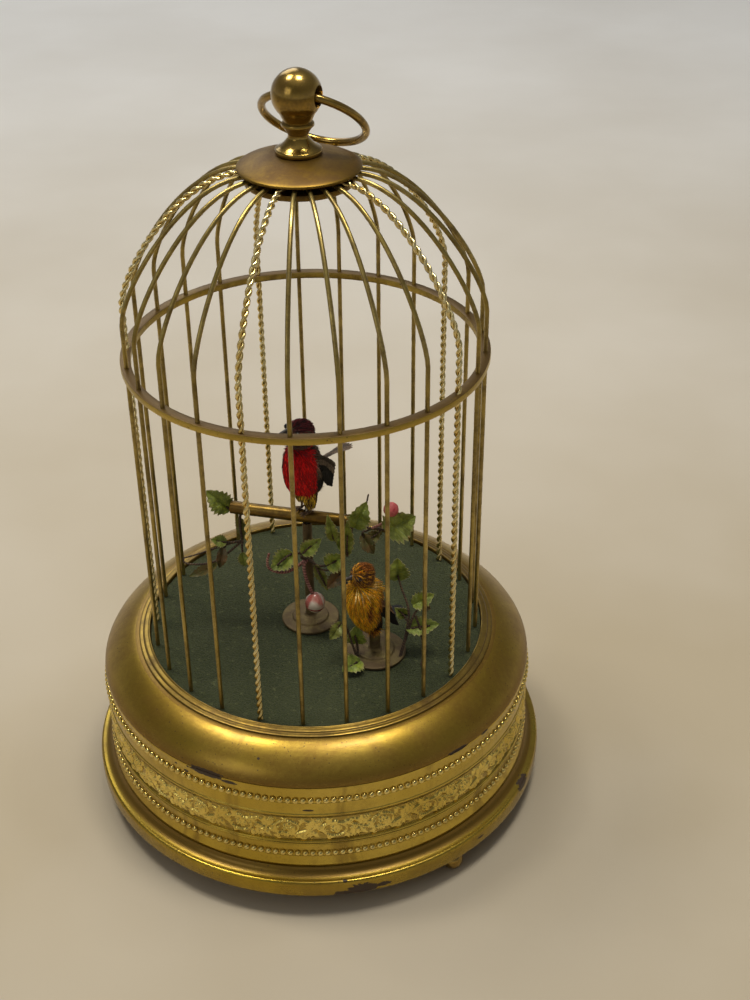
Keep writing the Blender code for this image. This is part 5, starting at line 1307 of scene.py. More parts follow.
def addPerch():
    look = perchLook
    along = Vector((cos(look["angle"]), sin(look["angle"]), 0))
    middle = Vector((*look["post"], look["level"])) - along * look["shift"]
    half, outer, inner = look["length"] / 2, look["radius"], look["radius"] - look["wall"]
    bm = latheMesh([(inner, -half), (outer, -half), (outer, half), (inner, half)], 48, 0.00025)
    perch = shown(laidAlong(bm, middle, along), "perchTube", agedBrass("perchBrass"))
    bore, under, over = look["bore"], look["level"] - look["drill"], look["level"] + look["drill"]
    cutBy(perch, latheMesh([(0, under), (bore, under), (bore, over), (0, over)], 24, 0, look["post"]))
    settled(perch, root, "brass", "perch")

    finish = agedBrass("discBrass")
    stands = (
        ("perchPost", "perch_post", "post", "brass"), ("birdStand", "bird_stand", "stand", "patinated_brass"),
    )
    for name, node, part, slot in stands:
        disc, radius, top = look[part + "Disc"], look[part + "Radius"], look[part + "Top"]
        low, stepped = look["foot"], disc * look["stepShare"]
        level = low + look["thick"]
        upper = level + look["step"]
        profile = [
            (bore, low), (disc, low), (disc, level - 0.0002), (disc - 0.0004, level),
            (stepped + 0.0002, level), (stepped, level + 0.0002), (stepped - 0.0003, upper),
            (radius + 0.0006, upper + 0.0001), (radius, upper + 0.0006), (radius, top), (bore, top),
        ]
        lathed(name, profile, 72, 0.00015, finish, slot, node, centre=look[part])


# Sprigs

stemLook = {"radius": 0.00054, "sides": 10}

# Each leaf: base, tip (mm), width (mm), how dry, curl, fold, the side that its face looks to
leafRows = {
    "left_sprig": [
        ((-30.1, 7.0, 108.9), (-38.4, 8.2, 116.6), 8.6, 0.15, 0.20, 0.35, (0.1, -1.0, 0.5)),
        ((-26.6, 6.0, 106.1), (-25.6, 4.6, 97.3), 4.8, 0.55, -0.25, 0.3, (-0.3, -1.0, 0.1)),
        ((-31.9, 3.2, 97.3), (-37.4, 3.0, 98.6), 4.6, 0.10, 0.15, 0.3, (0.0, -1.0, 0.8)),
        ((-33.3, 2.0, 96.0), (-34.8, 0.2, 87.8), 4.0, 0.95, 0.30, 0.4, (0.2, -1.0, 0.2)),
        ((-35.6, 0.4, 89.8), (-46.2, 0.0, 84.3), 4.2, 0.75, -0.25, 0.3, (-0.2, -1.0, 0.7)),
        ((-26.2, 1.4, 93.8), (-25.5, 0.6, 88.4), 4.2, 0.20, 0.15, 0.3, (0.2, -1.0, 0.3)),
    ],
    "right_sprig": [
        ((15.2, -6.0, 109.4), (19.4, -6.3, 120.6), 8.0, 0.10, 0.20, 0.35, (0.0, -1.0, 0.3)),
        ((26.2, -8.6, 109.6), (36.8, -9.4, 116.6), 12.0, 0.20, 0.15, 0.30, (0.1, -1.0, 0.5)),
        ((12.6, -6.8, 108.8), (9.6, -8.8, 101.6), 6.4, 0.10, -0.20, 0.35, (0.1, -1.0, 0.3)),
        ((7.7, -8.0, 105.6), (5.7, -9.0, 117.0), 4.4, 0.25, 0.15, 0.40, (0.1, -1.0, 0.3)),
        ((12.3, -9.8, 100.2), (12.8, -10.6, 115.6), 4.8, 0.20, -0.12, 0.40, (0.0, -1.0, 0.3)),
        ((17.8, -2.0, 104.0), (21.9, -4.0, 96.5), 5.2, 0.85, 0.20, 0.35, (0.1, -1.0, 0.3)),
        ((23.8, -1.0, 104.0), (17.8, -2.0, 99.0), 4.6, 0.70, -0.20, 0.35, (0.0, -1.0, 0.5)),
    ],
    "bud_sprig": [
        ((-7.4, -6.2, 98.9), (-15.2, -8.0, 92.9), 7.8, 0.05, -0.20, 0.30, (-0.1, -1.0, 0.8)),
        ((-4.0, -6.2, 98.6), (3.2, -5.7, 104.6), 6.0, 0.10, 0.20, 0.30, (0.0, -1.0, 0.6)),
        ((5.0, -8.8, 94.9), (11.8, -11.0, 101.0), 7.4, 0.0, 0.15, 0.30, (0.0, -1.0, 0.6)),
        ((0.8, -7.0, 94.0), (5.2, -9.0, 84.0), 4.2, 0.45, -0.20, 0.35, (-0.2, -1.0, 0.3)),
        ((10.1, -10.0, 92.8), (5.0, -12.0, 87.2), 5.0, 0.95, 0.20, 0.35, (-0.1, -1.0, 0.5)),
    ],
    "bird_stand": [
        ((30.4, -13.9, 92.0), (30.2, -13.5, 101.4), 8.4, 0.10, 0.15, 0.30, (0.0, -1.0, 0.5)),
        ((35.6, -17.9, 83.9), (43.3, -17.4, 88.3), 6.4, 0.10, 0.20, 0.30, (0.0, -1.0, 0.7)),
        ((33.2, -21.4, 76.4), (45.2, -20.0, 76.6), 7.0, 0.05, -0.15, 0.30, (0.0, -0.8, 1.0)),
        ((15.6, -22.6, 70.2), (15.4, -23.8, 79.2), 7.2, 0.05, 0.15, 0.30, (-0.1, -1.0, 0.3)),
        ((16.8, -28.4, 66.9), (10.4, -34.8, 67.6), 7.8, 0.05, 0.12, 0.25, (0.0, -0.6, 1.0)),
        ((33.4, -18.4, 79.4), (29.2, -19.6, 84.0), 4.6, 0.15, 0.15, 0.30, (0.0, -1.0, 0.5)),
        ((38.6, -18.4, 84.4), (42.0, -18.0, 82.0), 3.2, 0.95, 0.15, 0.30, (0.0, -1.0, 0.5)),
        ((10.4, -24.0, 81.0), (6.0, -27.0, 75.6), 5.0, 0.35, 0.20, 0.35, (-0.1, -1.0, 0.4)),
    ],
}

# Each stem: thickness at its foot and tip as shares of the full one, whether its thread is pink, points (mm)
stemRows = {
    "left_sprig": [
        (1.1, 0.6, False, (-24.4, 4.7, 110.9), (-26.4, 5.2, 109.8), (-29.0, 6.4, 108.6),
         (-31.5, 7.2, 110.2)),
        (1.1, 0.8, False, (-24.4, 4.7, 110.8), (-26.2, 5.6, 108.4), (-26.8, 5.8, 103.0),
         (-26.2, 4.2, 97.2)),
        (0.9, 0.6, False, (-26.2, 4.2, 97.2), (-29.4, 3.3, 97.2), (-32.5, 3.1, 97.4), (-36.0, 3.0, 98.0)),
        (0.9, 0.5, False, (-26.2, 4.2, 97.2), (-30.8, 3.1, 96.8), (-36.0, 2.6, 95.2), (-42.0, 2.2, 93.0),
         (-48.0, 2.0, 91.2)),
        (0.6, 0.9, False, (-48.0, 2.0, 91.2), (-47.6, 1.4, 89.6), (-44.0, 0.8, 89.2), (-38.0, 0.6, 90.0),
         (-33.0, 1.2, 92.6), (-26.2, 4.2, 97.2)),
        (0.9, 0.6, False, (-26.2, 4.2, 97.2), (-26.3, 2.8, 95.0), (-25.9, 1.2, 91.0)),
        (0.8, 0.5, False, (-32.0, 3.0, 96.6), (-33.4, 2.0, 94.0), (-34.5, 0.8, 90.0)),
    ],
    "right_sprig": [
        (1.1, 0.6, False, (14.8, -4.6, 110.2), (17.5, -5.6, 109.7), (21.4, -7.0, 109.9),
         (27.8, -8.7, 110.0)),
        (1.0, 0.5, False, (14.8, -4.6, 110.2), (17.4, -6.0, 110.6), (18.6, -6.2, 115.0),
         (20.2, -6.0, 123.6)),
        (0.9, 0.6, True, (21.4, -7.0, 109.9), (24.8, -8.0, 112.6), (28.1, -9.0, 117.2)),
        (0.9, 0.6, False, (14.8, -4.6, 110.2), (14.2, -6.2, 109.6), (11.6, -7.4, 106.0)),
        (0.9, 0.5, False, (14.8, -4.6, 110.2), (11.6, -6.9, 106.8), (8.0, -8.0, 105.4),
         (6.6, -8.6, 112.0)),
        (0.8, 0.5, False, (14.2, -6.2, 109.6), (13.4, -8.8, 103.0), (12.3, -9.9, 100.0),
         (12.6, -10.3, 109.0)),
        (0.8, 0.5, False, (21.4, -7.0, 109.9), (19.4, -3.4, 106.4), (17.8, -2.0, 104.0),
         (20.2, -3.0, 99.6)),
        (0.8, 0.5, False, (21.4, -7.0, 109.9), (24.0, -2.6, 107.0), (23.8, -1.0, 104.0),
         (20.4, -1.6, 101.4)),
    ],
    "bud_sprig": [
        (1.2, 1.1, True, (-2.0, -2.9, 94.0), (-3.4, -5.6, 92.8), (-2.6, -7.6, 88.0), (-0.4, -8.2, 81.4)),
        (1.1, 0.7, False, (-2.0, -2.9, 94.0), (-4.6, -4.6, 97.6), (-8.6, -6.4, 98.0), (-13.0, -7.5, 94.4)),
        (1.1, 0.6, False, (-2.0, -2.9, 94.0), (-4.2, -5.6, 96.6), (-1.6, -6.2, 101.0), (1.8, -5.8, 103.4)),
        (1.0, 0.6, False, (-2.0, -2.9, 94.0), (1.4, -6.4, 93.4), (5.6, -8.8, 95.4), (10.4, -10.5, 99.6)),
        (1.0, 0.6, False, (-2.0, -2.9, 94.0), (0.2, -6.0, 94.4), (2.0, -7.6, 91.0), (4.4, -8.8, 86.0)),
        (0.8, 0.5, False, (-2.0, -2.9, 94.0), (3.0, -7.4, 92.4), (7.4, -9.4, 93.6), (10.1, -10.0, 92.8),
         (7.4, -11.0, 89.8)),
        (0.8, 1.2, True, (-15.6, -7.6, 99.8), (-16.4, -8.0, 96.2), (-15.6, -8.0, 93.2),
         (-12.0, -7.9, 91.6), (-8.0, -6.6, 91.6), (-2.0, -2.9, 94.0)),
    ],
    "bird_stand": [
        (1.1, 0.6, False, (31.0, -25.0, 65.7), (33.2, -22.2, 74.0), (34.2, -19.8, 83.0),
         (31.6, -15.6, 90.0), (30.4, -13.8, 94.0)),
        (1.0, 0.6, False, (31.0, -25.0, 65.7), (34.0, -21.8, 75.0), (36.4, -19.0, 81.0),
         (41.0, -17.8, 86.4)),
        (1.0, 0.6, False, (31.0, -25.0, 65.7), (32.6, -22.6, 71.0), (34.6, -21.2, 75.4),
         (42.0, -20.4, 76.4)),
        (1.0, 0.7, False, (16.0, -27.5, 65.7), (15.8, -26.4, 67.6), (15.7, -24.2, 70.4),
         (14.6, -23.4, 76.0)),
        (1.0, 0.7, False, (16.0, -27.5, 65.7), (15.4, -29.0, 66.9), (13.0, -32.0, 67.3)),
        (0.8, 0.5, False, (16.0, -27.5, 65.7), (14.0, -25.6, 72.0), (12.0, -24.4, 79.0),
         (10.4, -24.0, 81.0), (8.0, -25.6, 78.2)),
        (0.8, 0.5, False, (33.6, -20.6, 78.8), (32.4, -19.4, 80.6), (30.2, -19.4, 83.0)),
        (0.7, 0.8, False, (38.5, -29.4, 65.4), (39.4, -26.0, 69.0), (38.6, -21.8, 74.6),
         (36.6, -19.6, 80.4)),
    ],
}


leafShape = {
    "stations": 22, "halves": 5, "thick": 0.00011, "least": 0.00012, "tooth": 0.13, "wave": 0.07,
    "ripple": 0.10, "midrib": 0.18,
}


def leafMesh(row, seed):  # a serrated blade with a raised midrib, curled and folded a little
    shape = leafShape
    base, tip, width, age, curl, fold, facing = row
    base, tip, facing = Vector(base) * mm, Vector(tip) * mm, Vector(facing)
    run = tip - base
    length = run.length
    run = run.normalized()
    side = run.cross(facing).normalized()
    face = side.cross(run).normalized()
    stations, halves, thick = shape["stations"], shape["halves"], shape["thick"]
    rings, marks = [], []
    for i in range(stations + 1):
        t = i / stations
        swell = sin(pi * min(1.0, 0.04 + 0.96 * t) ** 0.78) ** 0.85
        tooth = 1 + shape["tooth"] * ((i % 3) - 1) * (1 if 1 < i < stations - 1 else 0)
        half = max(width * mm / 2 * swell * tooth, shape["least"])
        wave = noise.noise(Vector((seed * 3.1, t * 4.0, 0.0))) * shape["wave"] * length
        centre = base + run * length * t + face * (curl * length * (t - t * t) * 1.4 + wave)
        upper, lower, sides = [], [], []
        for k in range(-halves, halves + 1):
            s = k / halves
            ripple = noise.noise(Vector((s * 2.2, t * 6.0, seed * 1.7)))
            dip = fold * half * abs(s) ** 1.3 + shape["ripple"] * half * ripple
            point = centre + side * half * s + face * (dip - shape["midrib"] * half * (1 - abs(s)) ** 4)
            upper.append(point + face * thick)
            lower.append(point - face * thick)
            sides.append(s)
        rings.append(upper + lower[::-1])
        marks.append([(s, t) for s in sides] + [(s, t) for s in sides[::-1]])
    bm = loftMesh(rings)
    return bm, [mark for ring in marks for mark in ring], age


def addSprig(node, finishes):
    meshes, across, along, ages = [], [], [], []
    for number, row in enumerate(leafRows[node]):
        bm, marks, age = leafMesh(row, number + len(node))
        meshes.append(bm)
        across += [s for s, _ in marks]
        along += [t for _, t in marks]
        ages += [age] * len(marks)
    bm = joined(*meshes)
    bmesh.ops.recalc_face_normals(bm, faces=bm.faces)
    short = node.split("_")[0]
    mesh = meshFrom(bm, short + "Leaves")
    for name, values in (("across", across), ("along", along), ("age", ages)):
        mesh.attributes.new(name, "FLOAT", "POINT").data.foreach_set("value", values)
    smoothed(mesh, 60)
    mesh.materials.append(finishes["leaf"])
    leaves = linked(short + "Leaves", mesh)
    settled(leaves, root, "leaf_cloth", node)
    for pink in (False, True):
        rows = [row for row in stemRows[node] if row[2] == pink]
        if not rows:
            continue
        paths, thick = [], []
        for first, last, _, *points in rows:
            path = curved([Vector(point) * mm for point in points], 7)
            paths.append(path)
            thick.append([first + (last - first) * i / (len(path) - 1) for i in range(len(path))])
        stems = pathObject(short + ("PinkStems" if pink else "Stems"), paths, thick)
        finish = finishes["pink" if pink else "brown"]
        values = {"Radius": stemLook["radius"], "Sides": stemLook["sides"], "Material": finish}
        grown(stems, stemTree(), values)
        settled(stems, root, "leaf_cloth", node)


roundLook = {
    "bud": {"place": (0.0003, -0.0083, 0.0782), "radius": 0.0037, "stretch": 1.06, "ring": 0.0776},
    "berry": {"place": (0.0281, -0.0089, 0.1191), "radius": 0.0027, "stretch": 1.0},
}


def addRounds():
    for name, node, finish in (("bud", "bud_sprig", budFinish()), ("berry", "right_sprig", berryFinish())):
        look = roundLook[name]
        x, y, z = look["place"]
        radius = look["radius"]
        profile = [(0, z - radius * look["stretch"])]
        for i in range(1, 24):
            a = -pi / 2 + pi * i / 24
            pinch = 1 - 0.10 * max(sin(a), 0) ** 3
            profile.append((radius * cos(a) * pinch, z + radius * look["stretch"] * sin(a)))
        profile.append((0, z + radius * look["stretch"]))
        bm = latheMesh(profile, 40, 0, (x, y))
        for vert in bm.verts:
            out = vert.co - Vector((x, y, z))
            vert.co += out * 0.05 * noise.noise(vert.co * 600)
        settled(shown(bm, name, finish, 80), root, "leaf_cloth", node)


# Birds

birdLook = {
    "red": {
        "spot": (-0.0020, -0.0004), "toes": 0.11327, "height": 0.0374, "heading": radians(215), "lean": 0.0,
        "tailHeight": 0.52, "tailSlope": radians(6), "tailLength": 0.325, "fan": radians(10),
        "tailQuill": 0.062, "wing": 0.700, "seed": 11, "hip": 0.265, "eye": 0.925,
        "primaries": (0.0, 0.0),  # how far the lowest wing quills reach back and down
        "barbs": 13000, "barb": (0.075, 0.0072, 0.0072), "lift": 0.09, "spread": 0.15, "headBarb": 0.75,
        "upperWing": "greyBrown", "tail": "brown",
        "headSlot": "maroon_feathers", "tailSlot": "brown_feathers",
        "beak": [
            (0.130, 0.931, 0.040, 0.036), (0.200, 0.930, 0.030, 0.026), (0.280, 0.922, 0.017, 0.014),
            (0.355, 0.907, 0.003, 0.003),
        ],
        "jaw": [(0.236, 0.8795, 0.011, 0.022), (0.280, 0.8775, 0.008, 0.014), (0.333, 0.8725, 0.003, 0.004)],
    },
    "yellow": {
        "spot": (0.0220, -0.0205), "toes": 0.07472, "height": 0.0302, "heading": radians(205), "lean": 0.11,
        "tailHeight": 0.24, "tailSlope": radians(-14), "tailLength": 0.355, "fan": radians(20),
        "tailQuill": 0.100, "wing": 0.620, "seed": 23, "hip": 0.10, "eye": 0.880, "primaries": (0.15, 0.10),
        "barbs": 14000, "barb": (0.170, 0.0085, 0.0085), "lift": 0.030, "spread": 0.09, "headBarb": 0.42,
        "upperWing": "fawn", "tail": "black", "headSlot": "yellow_feathers", "tailSlot": "black_feathers",
        "beak": [
            (0.130, 0.866, 0.040, 0.036), (0.200, 0.866, 0.030, 0.026), (0.280, 0.856, 0.017, 0.014),
            (0.355, 0.834, 0.003, 0.003),
        ],
        "jaw": [(0.236, 0.8145, 0.011, 0.022), (0.280, 0.8125, 0.008, 0.014), (0.333, 0.8075, 0.003, 0.004)],
    },
}

# What both birds share, in shares of a bird's height
birdShape = {
    "neck": 0.740, "neckGap": 0.012, "feathersVary": 0.35, "headBarbs": 5000, "thighBarbs": 2400,
    "chest": [(0.35, 0.01, 0.178, 0.160), (0.53, 0.02, 0.186, 0.168), (0.66, 0.03, 0.146, 0.137)],
    "head": [
        (0.82, 0.045, 0.132, 0.128), (0.91, 0.040, 0.124, 0.120), (0.965, 0.030, 0.078, 0.076),
        (0.985, 0.026, 0.020, 0.020),
    ],
    "thigh": [
        (0.105, 0.004, 0.040, 0.036), (0.150, 0.006, 0.058, 0.048), (0.215, 0.010, 0.072, 0.054),
        (0.300, 0.010, 0.076, 0.056),
    ],
    "thighOut": 0.084, "thighFrom": 0.15, "wingQuills": 7, "wingQuill": 0.085, "coverts": 0.115,
    "legOut": 0.062, "legRadius": 0.013, "toe": 0.085, "hindToe": 0.06, "eyeX": 0.118, "eyeY": 0.098,
    "eyeRadius": 0.026, "tailQuills": 5, "tailFoot": 0.212,
}

plumeColours = {
    "crimson": (0.700, 0.006, 0.008), "scarlet": (0.860, 0.020, 0.012), "maroon": (0.150, 0.014, 0.020),
    "black": (0.009, 0.007, 0.006), "greyBrown": (0.200, 0.150, 0.105), "brown": (0.100, 0.065, 0.040),
    "thighGold": (0.950, 0.620, 0.050), "amber": (0.880, 0.400, 0.012), "gold": (0.980, 0.600, 0.020),
    "rust": (0.400, 0.125, 0.012), "shadedOlive": (0.520, 0.350, 0.035), "umber": (0.080, 0.030, 0.010),
    "cream": (0.880, 0.660, 0.240), "fawn": (0.360, 0.215, 0.130),
}


def birdFrame(look):
    stand = (
        Matrix.Translation((*look["spot"], look["toes"]))
        @ Matrix.Rotation(look["heading"], 4, "Z")
        @ Matrix.Scale(look["height"], 4)
    )
    return stand @ Matrix.Translation((look["lean"], 0, 0))


def bearing(x, y):  # angle round a bird from straight ahead, positive on its left
    return Vector((x, y)).angle_signed(Vector((1, 0)), 0.0)


def redPlume(point, chance):
    colours = plumeColours
    x, y, z = point
    angle = bearing(x, y)
    if z > 0.775:
        if x < 0.02 or z > 0.940:
            return colours["black"] if chance > 0.35 else colours["maroon"]
        return colours["maroon"] if chance > 0.30 else colours["brown"]
    if z < 0.28:
        return colours["thighGold"] if chance > 0.10 else colours["umber"]
    if -radians(10) < angle < radians(88 + 14 * (z - 0.5)):
        if z > 0.72:
            return colours["maroon"] if chance > 0.55 else colours["crimson"]
        return colours["scarlet"] if chance > 0.66 else colours["crimson"]
    if angle < 0:
        return colours["maroon"] if z > 0.30 or chance > 0.5 else colours["black"]
    if z < 0.46:
        return colours["black"]
    return colours["greyBrown"] if chance > 0.3 else colours["brown"]


def yellowPlume(point, chance):
    colours = plumeColours
    x, y, z = point
    angle = bearing(x, y)
    if z > 0.755:
        if x < -0.04 or z > 0.960:
            return colours["umber"] if chance > 0.45 else colours["rust"]
        if (z < 0.85 or x > 0.09) and chance > 0.25:
            return colours["amber"]
        return colours["amber"] if chance > 0.62 else colours["rust"] if chance > 0.22 else colours["umber"]
    if z < 0.20:
        return colours["amber"] if chance > 0.25 else colours["rust"]
    if abs(z - 0.730 + 0.02 * cos(2 * angle)) < 0.012 and radians(15) < angle < radians(95) and chance > 0.25:
        return colours["cream"]
    if abs(angle - radians(58)) < radians(7) and 0.44 < z < 0.67:
        return colours["umber"] if chance > 0.25 else colours["rust"]
    if -radians(60) < angle < radians(92):
        return colours["gold"] if chance > 0.35 else colours["amber"]
    if z < 0.30:
        return colours["black"]
    # painted shade: away from the front the feathers are olive, amber and rust rather than gold
    return colours["shadedOlive"] if chance > 0.35 else colours["amber"] if chance > 0.2 else colours["rust"]


def painted(piece, local, plume, group):
    back = local.inverted()
    mesh = piece.data
    layer = mesh.attributes.new("plume", "FLOAT_COLOR", "POINT")
    colour = (0, 0, 0)
    values = []
    for i, vert in enumerate(mesh.vertices):
        if i % group == 0:
            chance = noise.cell(vert.co * 4100)
            shade = 0.78 + 0.44 * noise.cell(vert.co * 2900 + Vector((5, 3, 1)))
            colour = [part * shade for part in plume(back @ vert.co, chance)]
        values += [*colour, 1.0]
    layer.data.foreach_set("color", values)


def ringedMesh(local, sections, sides=20):  # upright sections: height, middle, half length, half width
    turns = [tau * k / sides for k in range(sides)]
    rings = []
    for z, front, halfLength, halfWidth in sections:
        ring = [(front + halfLength * cos(turn), halfWidth * sin(turn), z) for turn in turns]
        rings.append([local @ Vector(point) for point in ring])
    return loftMesh(rings)


def beakMesh(local, sections, sides=12):  # sections ahead: distance, height, half height, half width
    turns = [tau * k / sides for k in range(sides)]
    rings = []
    for x, z, halfHeight, halfWidth in sections:
        ring = [(x, halfWidth * cos(turn), z + halfHeight * sin(turn)) for turn in turns]
        rings.append([local @ Vector(point) for point in ring])
    return loftMesh(rings)


def sections(rows, steps=5):  # more cross-sections on a smooth line through the given ones
    lines = curved([Vector(row[:3]) for row in rows], steps)
    widths = curved([Vector((row[3], 0, 0)) for row in rows], steps)
    return [(line.x, line.y, line.z, width.x) for line, width in zip(lines, widths)]


quillShape = {"stations": 13, "thick": 0.05, "shaft": 1.6, "notch": 0.18, "pointed": 0.72}
quillPoints = 4 * quillShape["stations"]  # a ring of four points at each station


def quill(foot, tip, side, width, bow):  # one long feather blade with a shaft and a notched edge
    shape = quillShape
    foot, tip = Vector(foot), Vector(tip)
    run = tip - foot
    ahead = run.normalized()
    side = (side - ahead * side.dot(ahead)).normalized()
    face = ahead.cross(side)
    thick, last = width * shape["thick"], shape["stations"] - 1
    rings = []
    for i in range(shape["stations"]):
        t = i / last
        taper = 1 - max(0.0, (t - shape["pointed"]) / 0.28) ** 2 * 0.85
        half = width / 2 * min(1.0, 0.25 + 3.2 * t) * taper
        half *= 1 - shape["notch"] * (i % 2)
        middle = foot + run * t + face * bow * (t - t * t) * 4
        shaft, under = middle + face * thick * shape["shaft"], middle - face * thick
        rings.append([middle - side * half, shaft, middle + side * half, under])
    return loftMesh(rings)


def bladeObject(finish):  # one barb, three-sided and tapering
    blade = bmesh.new()
    rings = [
        [blade.verts.new((t, half * y, lift + half * z)) for y, z in ((-1, -0.3), (1, -0.3), (0, 0.7))]
        for t, half, lift in ((0.0, 0.30, 0.0), (0.45, 0.5, 0.6))
    ]
    tip = blade.verts.new((1.0, 0.0, -0.3))
    blade.faces.new(rings[0][::-1])
    for k in range(3):
        j = (k + 1) % 3
        blade.faces.new((rings[0][k], rings[0][j], rings[1][j], rings[1][k]))
        blade.faces.new((rings[1][k], rings[1][j], tip))
    return shown(blade, "blade", finish, smooth=False)


def plumed(name, skin, local, plume, finish, look, count, seed, shorter, sweep):
    flow = skin.data.attributes.new("flow", "FLOAT_VECTOR", "POINT")
    turn = local.to_3x3().normalized()
    back = local.inverted()
    for i, vert in enumerate(skin.data.vertices):
        flow.data[i].vector = turn @ Vector(sweep(back @ vert.co)).normalized()
    coat = linked(name, skin.data.copy())
    blade = bladeObject(finish)
    area = sum(face.area for face in skin.data.polygons)
    size = tuple(shorter * look["height"] * part for part in look["barb"])
    values = {"Blade": blade, "Density": count / area, "Seed": seed, "Size": size, "Lift": look["lift"]}
    values |= {"Spread": look["spread"], "Vary": birdShape["feathersVary"], "Material": finish}
    grown(coat, scatterTree(), values)
    painted(coat, local, plume, len(blade.data.vertices))
    bpy.data.objects.remove(blade, do_unlink=True)
    return coat


def downwards(point):  # how the feathers of the body lie
    return (-0.45 if point.z > 0.25 else -0.05, 0.12 * point.y, -1.0)


def backwards(point):  # how the feathers of the head lie
    return (-1.0, 0.2 * point.y, -0.55)


def addTrunk(prefix, look, local, plume, finish):
    shape, lean, hip = birdShape, look["lean"], look["hip"]
    rows = sections(
        [
            (hip, -0.01 - lean / 2, 0.050 + lean / 3, 0.055),
            (0.18 + 0.5 * (hip - 0.10), -lean / 3, 0.120 + lean / 4, 0.118),
            *shape["chest"], (shape["neck"] - shape["neckGap"], 0.035, 0.100, 0.098),
        ]
    )
    skin = shown(ringedMesh(local, rows), prefix + "Trunk", finish, 80)
    barbs, seed = look["barbs"], look["seed"]
    coat = plumed(prefix + "BodyFeathers", skin, local, plume, finish, look, barbs, seed, 1.0, downwards)
    painted(skin, local, plume, 1)
    pieces = [skin, coat]
    if hip > shape["thighFrom"]:
        thighs = []
        for side in (-1, 1):
            bm = ringedMesh(local, sections(shape["thigh"], 3), 12)
            out = local.to_3x3() @ Vector((0, shape["thighOut"] * side, 0))
            bmesh.ops.translate(bm, verts=bm.verts, vec=out)
            thighs.append(bm)
        thigh = shown(joined(*thighs), prefix + "Thighs", finish, 80)
        barbs, seed = shape["thighBarbs"], look["seed"] + 2
        tufts = plumed(prefix + "ThighTufts", thigh, local, plume, finish, look, barbs, seed, 0.8, downwards)
        painted(thigh, local, plume, 1)
        pieces += [thigh, tufts]
    for piece in pieces:
        settled(piece, root, prefix + "_feathers", prefix + "_bird_body")


def addWings(prefix, look, local, finish):
    shape, wing, size = birdShape, look["wing"], look["height"]
    reach, droop = look["primaries"]
    lateral = (local.to_3x3() @ Vector((0.8, 0, 0.6))).normalized()
    quills = []
    for side in (-1, 1):
        for k in range(shape["wingQuills"]):
            t = k / (shape["wingQuills"] - 1)
            start = Vector((0.00 - 0.08 * t, (0.150 + 0.020 * t) * side, wing - 0.20 * t))
            tipX, tipY = -0.27 + (0.07 - reach) * t, (0.112 + 0.040 * t) * side
            end = Vector((tipX, tipY, wing - 0.24 - (0.18 + droop) * t))
            quills.append(quill(local @ start, local @ end, lateral, shape["wingQuill"] * size, 0.02 * size))
    wings = shown(joined(*quills), prefix + "WingQuills", finish, 60)
    upper, black = plumeColours[look["upperWing"]], plumeColours["black"]
    edge = wing - shape["coverts"]
    painted(wings, local, lambda point, chance: upper if point.z > edge else black, quillPoints)
    settled(wings, root, prefix + "_feathers", prefix + "_bird_body")


def addLegs(prefix, look, local, finish):
    shape = birdShape
    claws = []
    for side in (-1, 1):
        legX, legY = 0.02 - look["lean"], shape["legOut"] * side
        shank = curved([(legX, legY, 0.004), (legX - 0.01, legY, 0.07), (legX + 0.01, legY, 0.19)], 4)
        claws.append([local @ point for point in shank])
        foot = Vector((legX, legY, 0.010))
        for angle in (radians(-24), 0.0, radians(24), pi):
            reach = shape["toe"] if angle != pi else shape["hindToe"]
            out = Vector((cos(angle), sin(angle), 0))
            toe = curved([foot, foot + out * reach * 0.55 + up * 0.012, foot + out * reach - up * 0.004], 4)
            claws.append([local @ point for point in toe])
    thick = [[1.0 - 0.5 * i / (len(path) - 1) for i in range(len(path))] for path in claws]
    legs = pathObject(prefix + "Legs", claws, thick)
    grown(legs, stemTree(), {"Radius": shape["legRadius"] * look["height"], "Sides": 7, "Material": finish})
    settled(legs, root, "horn", prefix + "_bird_body")


def addHead(prefix, look, local, plume, finishes):
    shape, finish = birdShape, finishes["feather"]
    body, node = prefix + "_head", prefix + "_bird_head"
    rows = sections([(shape["neck"] + shape["neckGap"], 0.035, 0.098, 0.094), *shape["head"]])
    skull = shown(ringedMesh(local, rows), prefix + "Skull", finish, 80)
    name, barbs, seed = prefix + "HeadFeathers", shape["headBarbs"], look["seed"] + 1
    coat = plumed(name, skull, local, plume, finish, look, barbs, seed, look["headBarb"], backwards)
    painted(skull, local, plume, 1)
    settled(skull, body, look["headSlot"], node)
    settled(coat, body, look["headSlot"], node)

    beak = shown(beakMesh(local, sections(look["beak"])), prefix + "UpperBeak", finishes["beak"], 60)
    settled(beak, body, "horn", node)
    jaw = shown(beakMesh(local, sections(look["jaw"])), prefix + "LowerBeak", finishes["beak"], 60)
    settled(jaw, prefix + "_beak", "horn", prefix + "_bird_beak")

    radius = shape["eyeRadius"] * look["height"]
    turns = [-pi / 2 + pi * i / 12 for i in range(1, 12)]
    profile = [(0, -radius)] + [(radius * cos(turn), radius * sin(turn)) for turn in turns] + [(0, radius)]
    eyes = []
    for side in (-1, 1):
        bm = latheMesh(profile, 16, 0)
        middle = local @ Vector((shape["eyeX"], shape["eyeY"] * side, look["eye"]))
        bmesh.ops.translate(bm, verts=bm.verts, vec=middle)
        eyes.append(bm)
    settled(shown(joined(*eyes), prefix + "Eyes", finishes["eye"], 80), body, "horn", node)


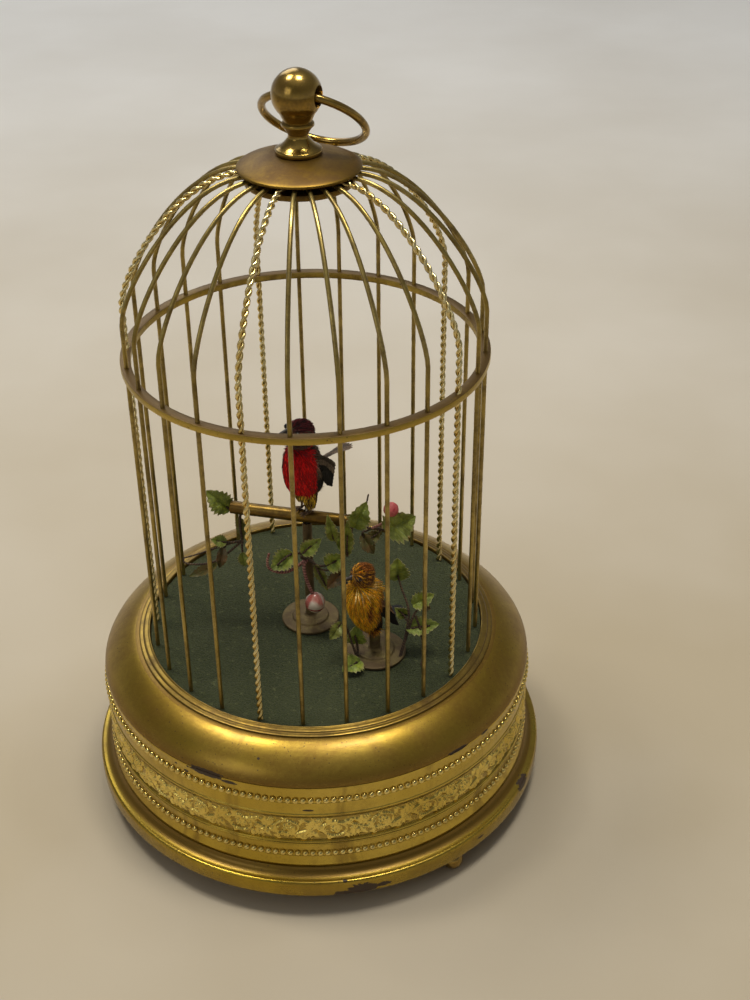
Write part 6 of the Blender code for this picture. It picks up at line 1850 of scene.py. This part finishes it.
def addTail(prefix, look, local, finish):
    shape, size = birdShape, look["height"]
    run = Vector((-cos(look["tailSlope"]), 0, sin(look["tailSlope"])))
    start = Vector((-shape["tailFoot"], 0, look["tailHeight"])) + run * 0.004
    lateral = (local.to_3x3() @ Vector((0, 1, 0))).normalized()
    middle = shape["tailQuills"] // 2
    fan = []
    for k in range(shape["tailQuills"]):
        turn = Matrix.Rotation(look["fan"] * (k - middle) / middle, 3, "Z")
        end = start + turn @ run * (look["tailLength"] - 0.012 * abs(k - middle))
        foot = start + Vector((0, -0.022 + 0.011 * k, 0.004 * (k % 2)))
        fan.append(quill(local @ foot, local @ end, lateral, look["tailQuill"] * size, -0.006 * size))
    tail = shown(joined(*fan), prefix + "TailQuills", finish, 60)
    shade = plumeColours[look["tail"]]
    painted(tail, local, lambda point, chance: shade, quillPoints)
    settled(tail, prefix + "_tail", look["tailSlot"], prefix + "_bird_tail")


def addBird(prefix, plume, finishes):
    look = birdLook[prefix]
    local = birdFrame(look)
    feather = finishes["feather"]
    addTrunk(prefix, look, local, plume, feather)
    addWings(prefix, look, local, feather)
    addLegs(prefix, look, local, finishes["leg"])
    addHead(prefix, look, local, plume, finishes)
    addTail(prefix, look, local, feather)


# Hidden movement and the underside keep their solids and get real finishes

nodeFinishes = {
    "clock": [
        "bottom_plate", "movement_plate", "spring_barrel", "winding_key", "second_wheel", "cam_wheel",
        "whistle_tube", "red_lever", "yellow_lever",
    ],
    "steel": [
        "winding_arbor", "click", "fly_governor", "whistle_piston", "red_rod", "yellow_rod", "start_lever",
    ],
    "leather": ["bellows_chest"],
    "wood": ["bellows_board"],
}


def finishNodes():
    finishes = {
        "clock": agedBrass("clockBrass"), "steel": steelFinish(), "leather": leatherFinish(),
        "wood": woodFinish(),
    }
    for kind, names in nodeFinishes.items():
        for name in names:
            for slot in bpy.data.objects[name].material_slots:
                slot.material = finishes[kind]


addCamera()
addLamps()
addRoomLight()
addFloor()
print("camera, lamps and floor are set")
addFoot()
addBand()
addFrieze()
addShoulder()
print("base is made")
addFlockedFloor()
print("flocked floor is made")
addWires()
addHoop()
addCrown()
addPerch()
print("cage and perch are made")
sprigFinishes = {
    "leaf": leafFinish(),
    "brown": threadFinish("brownThread", (0.060, 0.034, 0.018), (0.150, 0.090, 0.045)),
    "pink": threadFinish("pinkThread", (0.300, 0.110, 0.085), (0.520, 0.260, 0.200)),
}
for spray in leafRows:
    addSprig(spray, sprigFinishes)
addRounds()
print("sprigs are made")
birdFinishes = {
    "feather": featherFinish(),
    "beak": hornFinish("darkHorn", (0.012, 0.009, 0.008), (0.060, 0.045, 0.035), 0.28),
    "leg": hornFinish("legHorn", (0.060, 0.030, 0.012), (0.180, 0.100, 0.040), 0.45),
    "eye": hornFinish("glassEye", (0.003, 0.003, 0.003), (0.012, 0.009, 0.008), 0.06),
}
addBird("red", redPlume, birdFinishes)
addBird("yellow", yellowPlume, birdFinishes)
print("birds are made")
finishNodes()
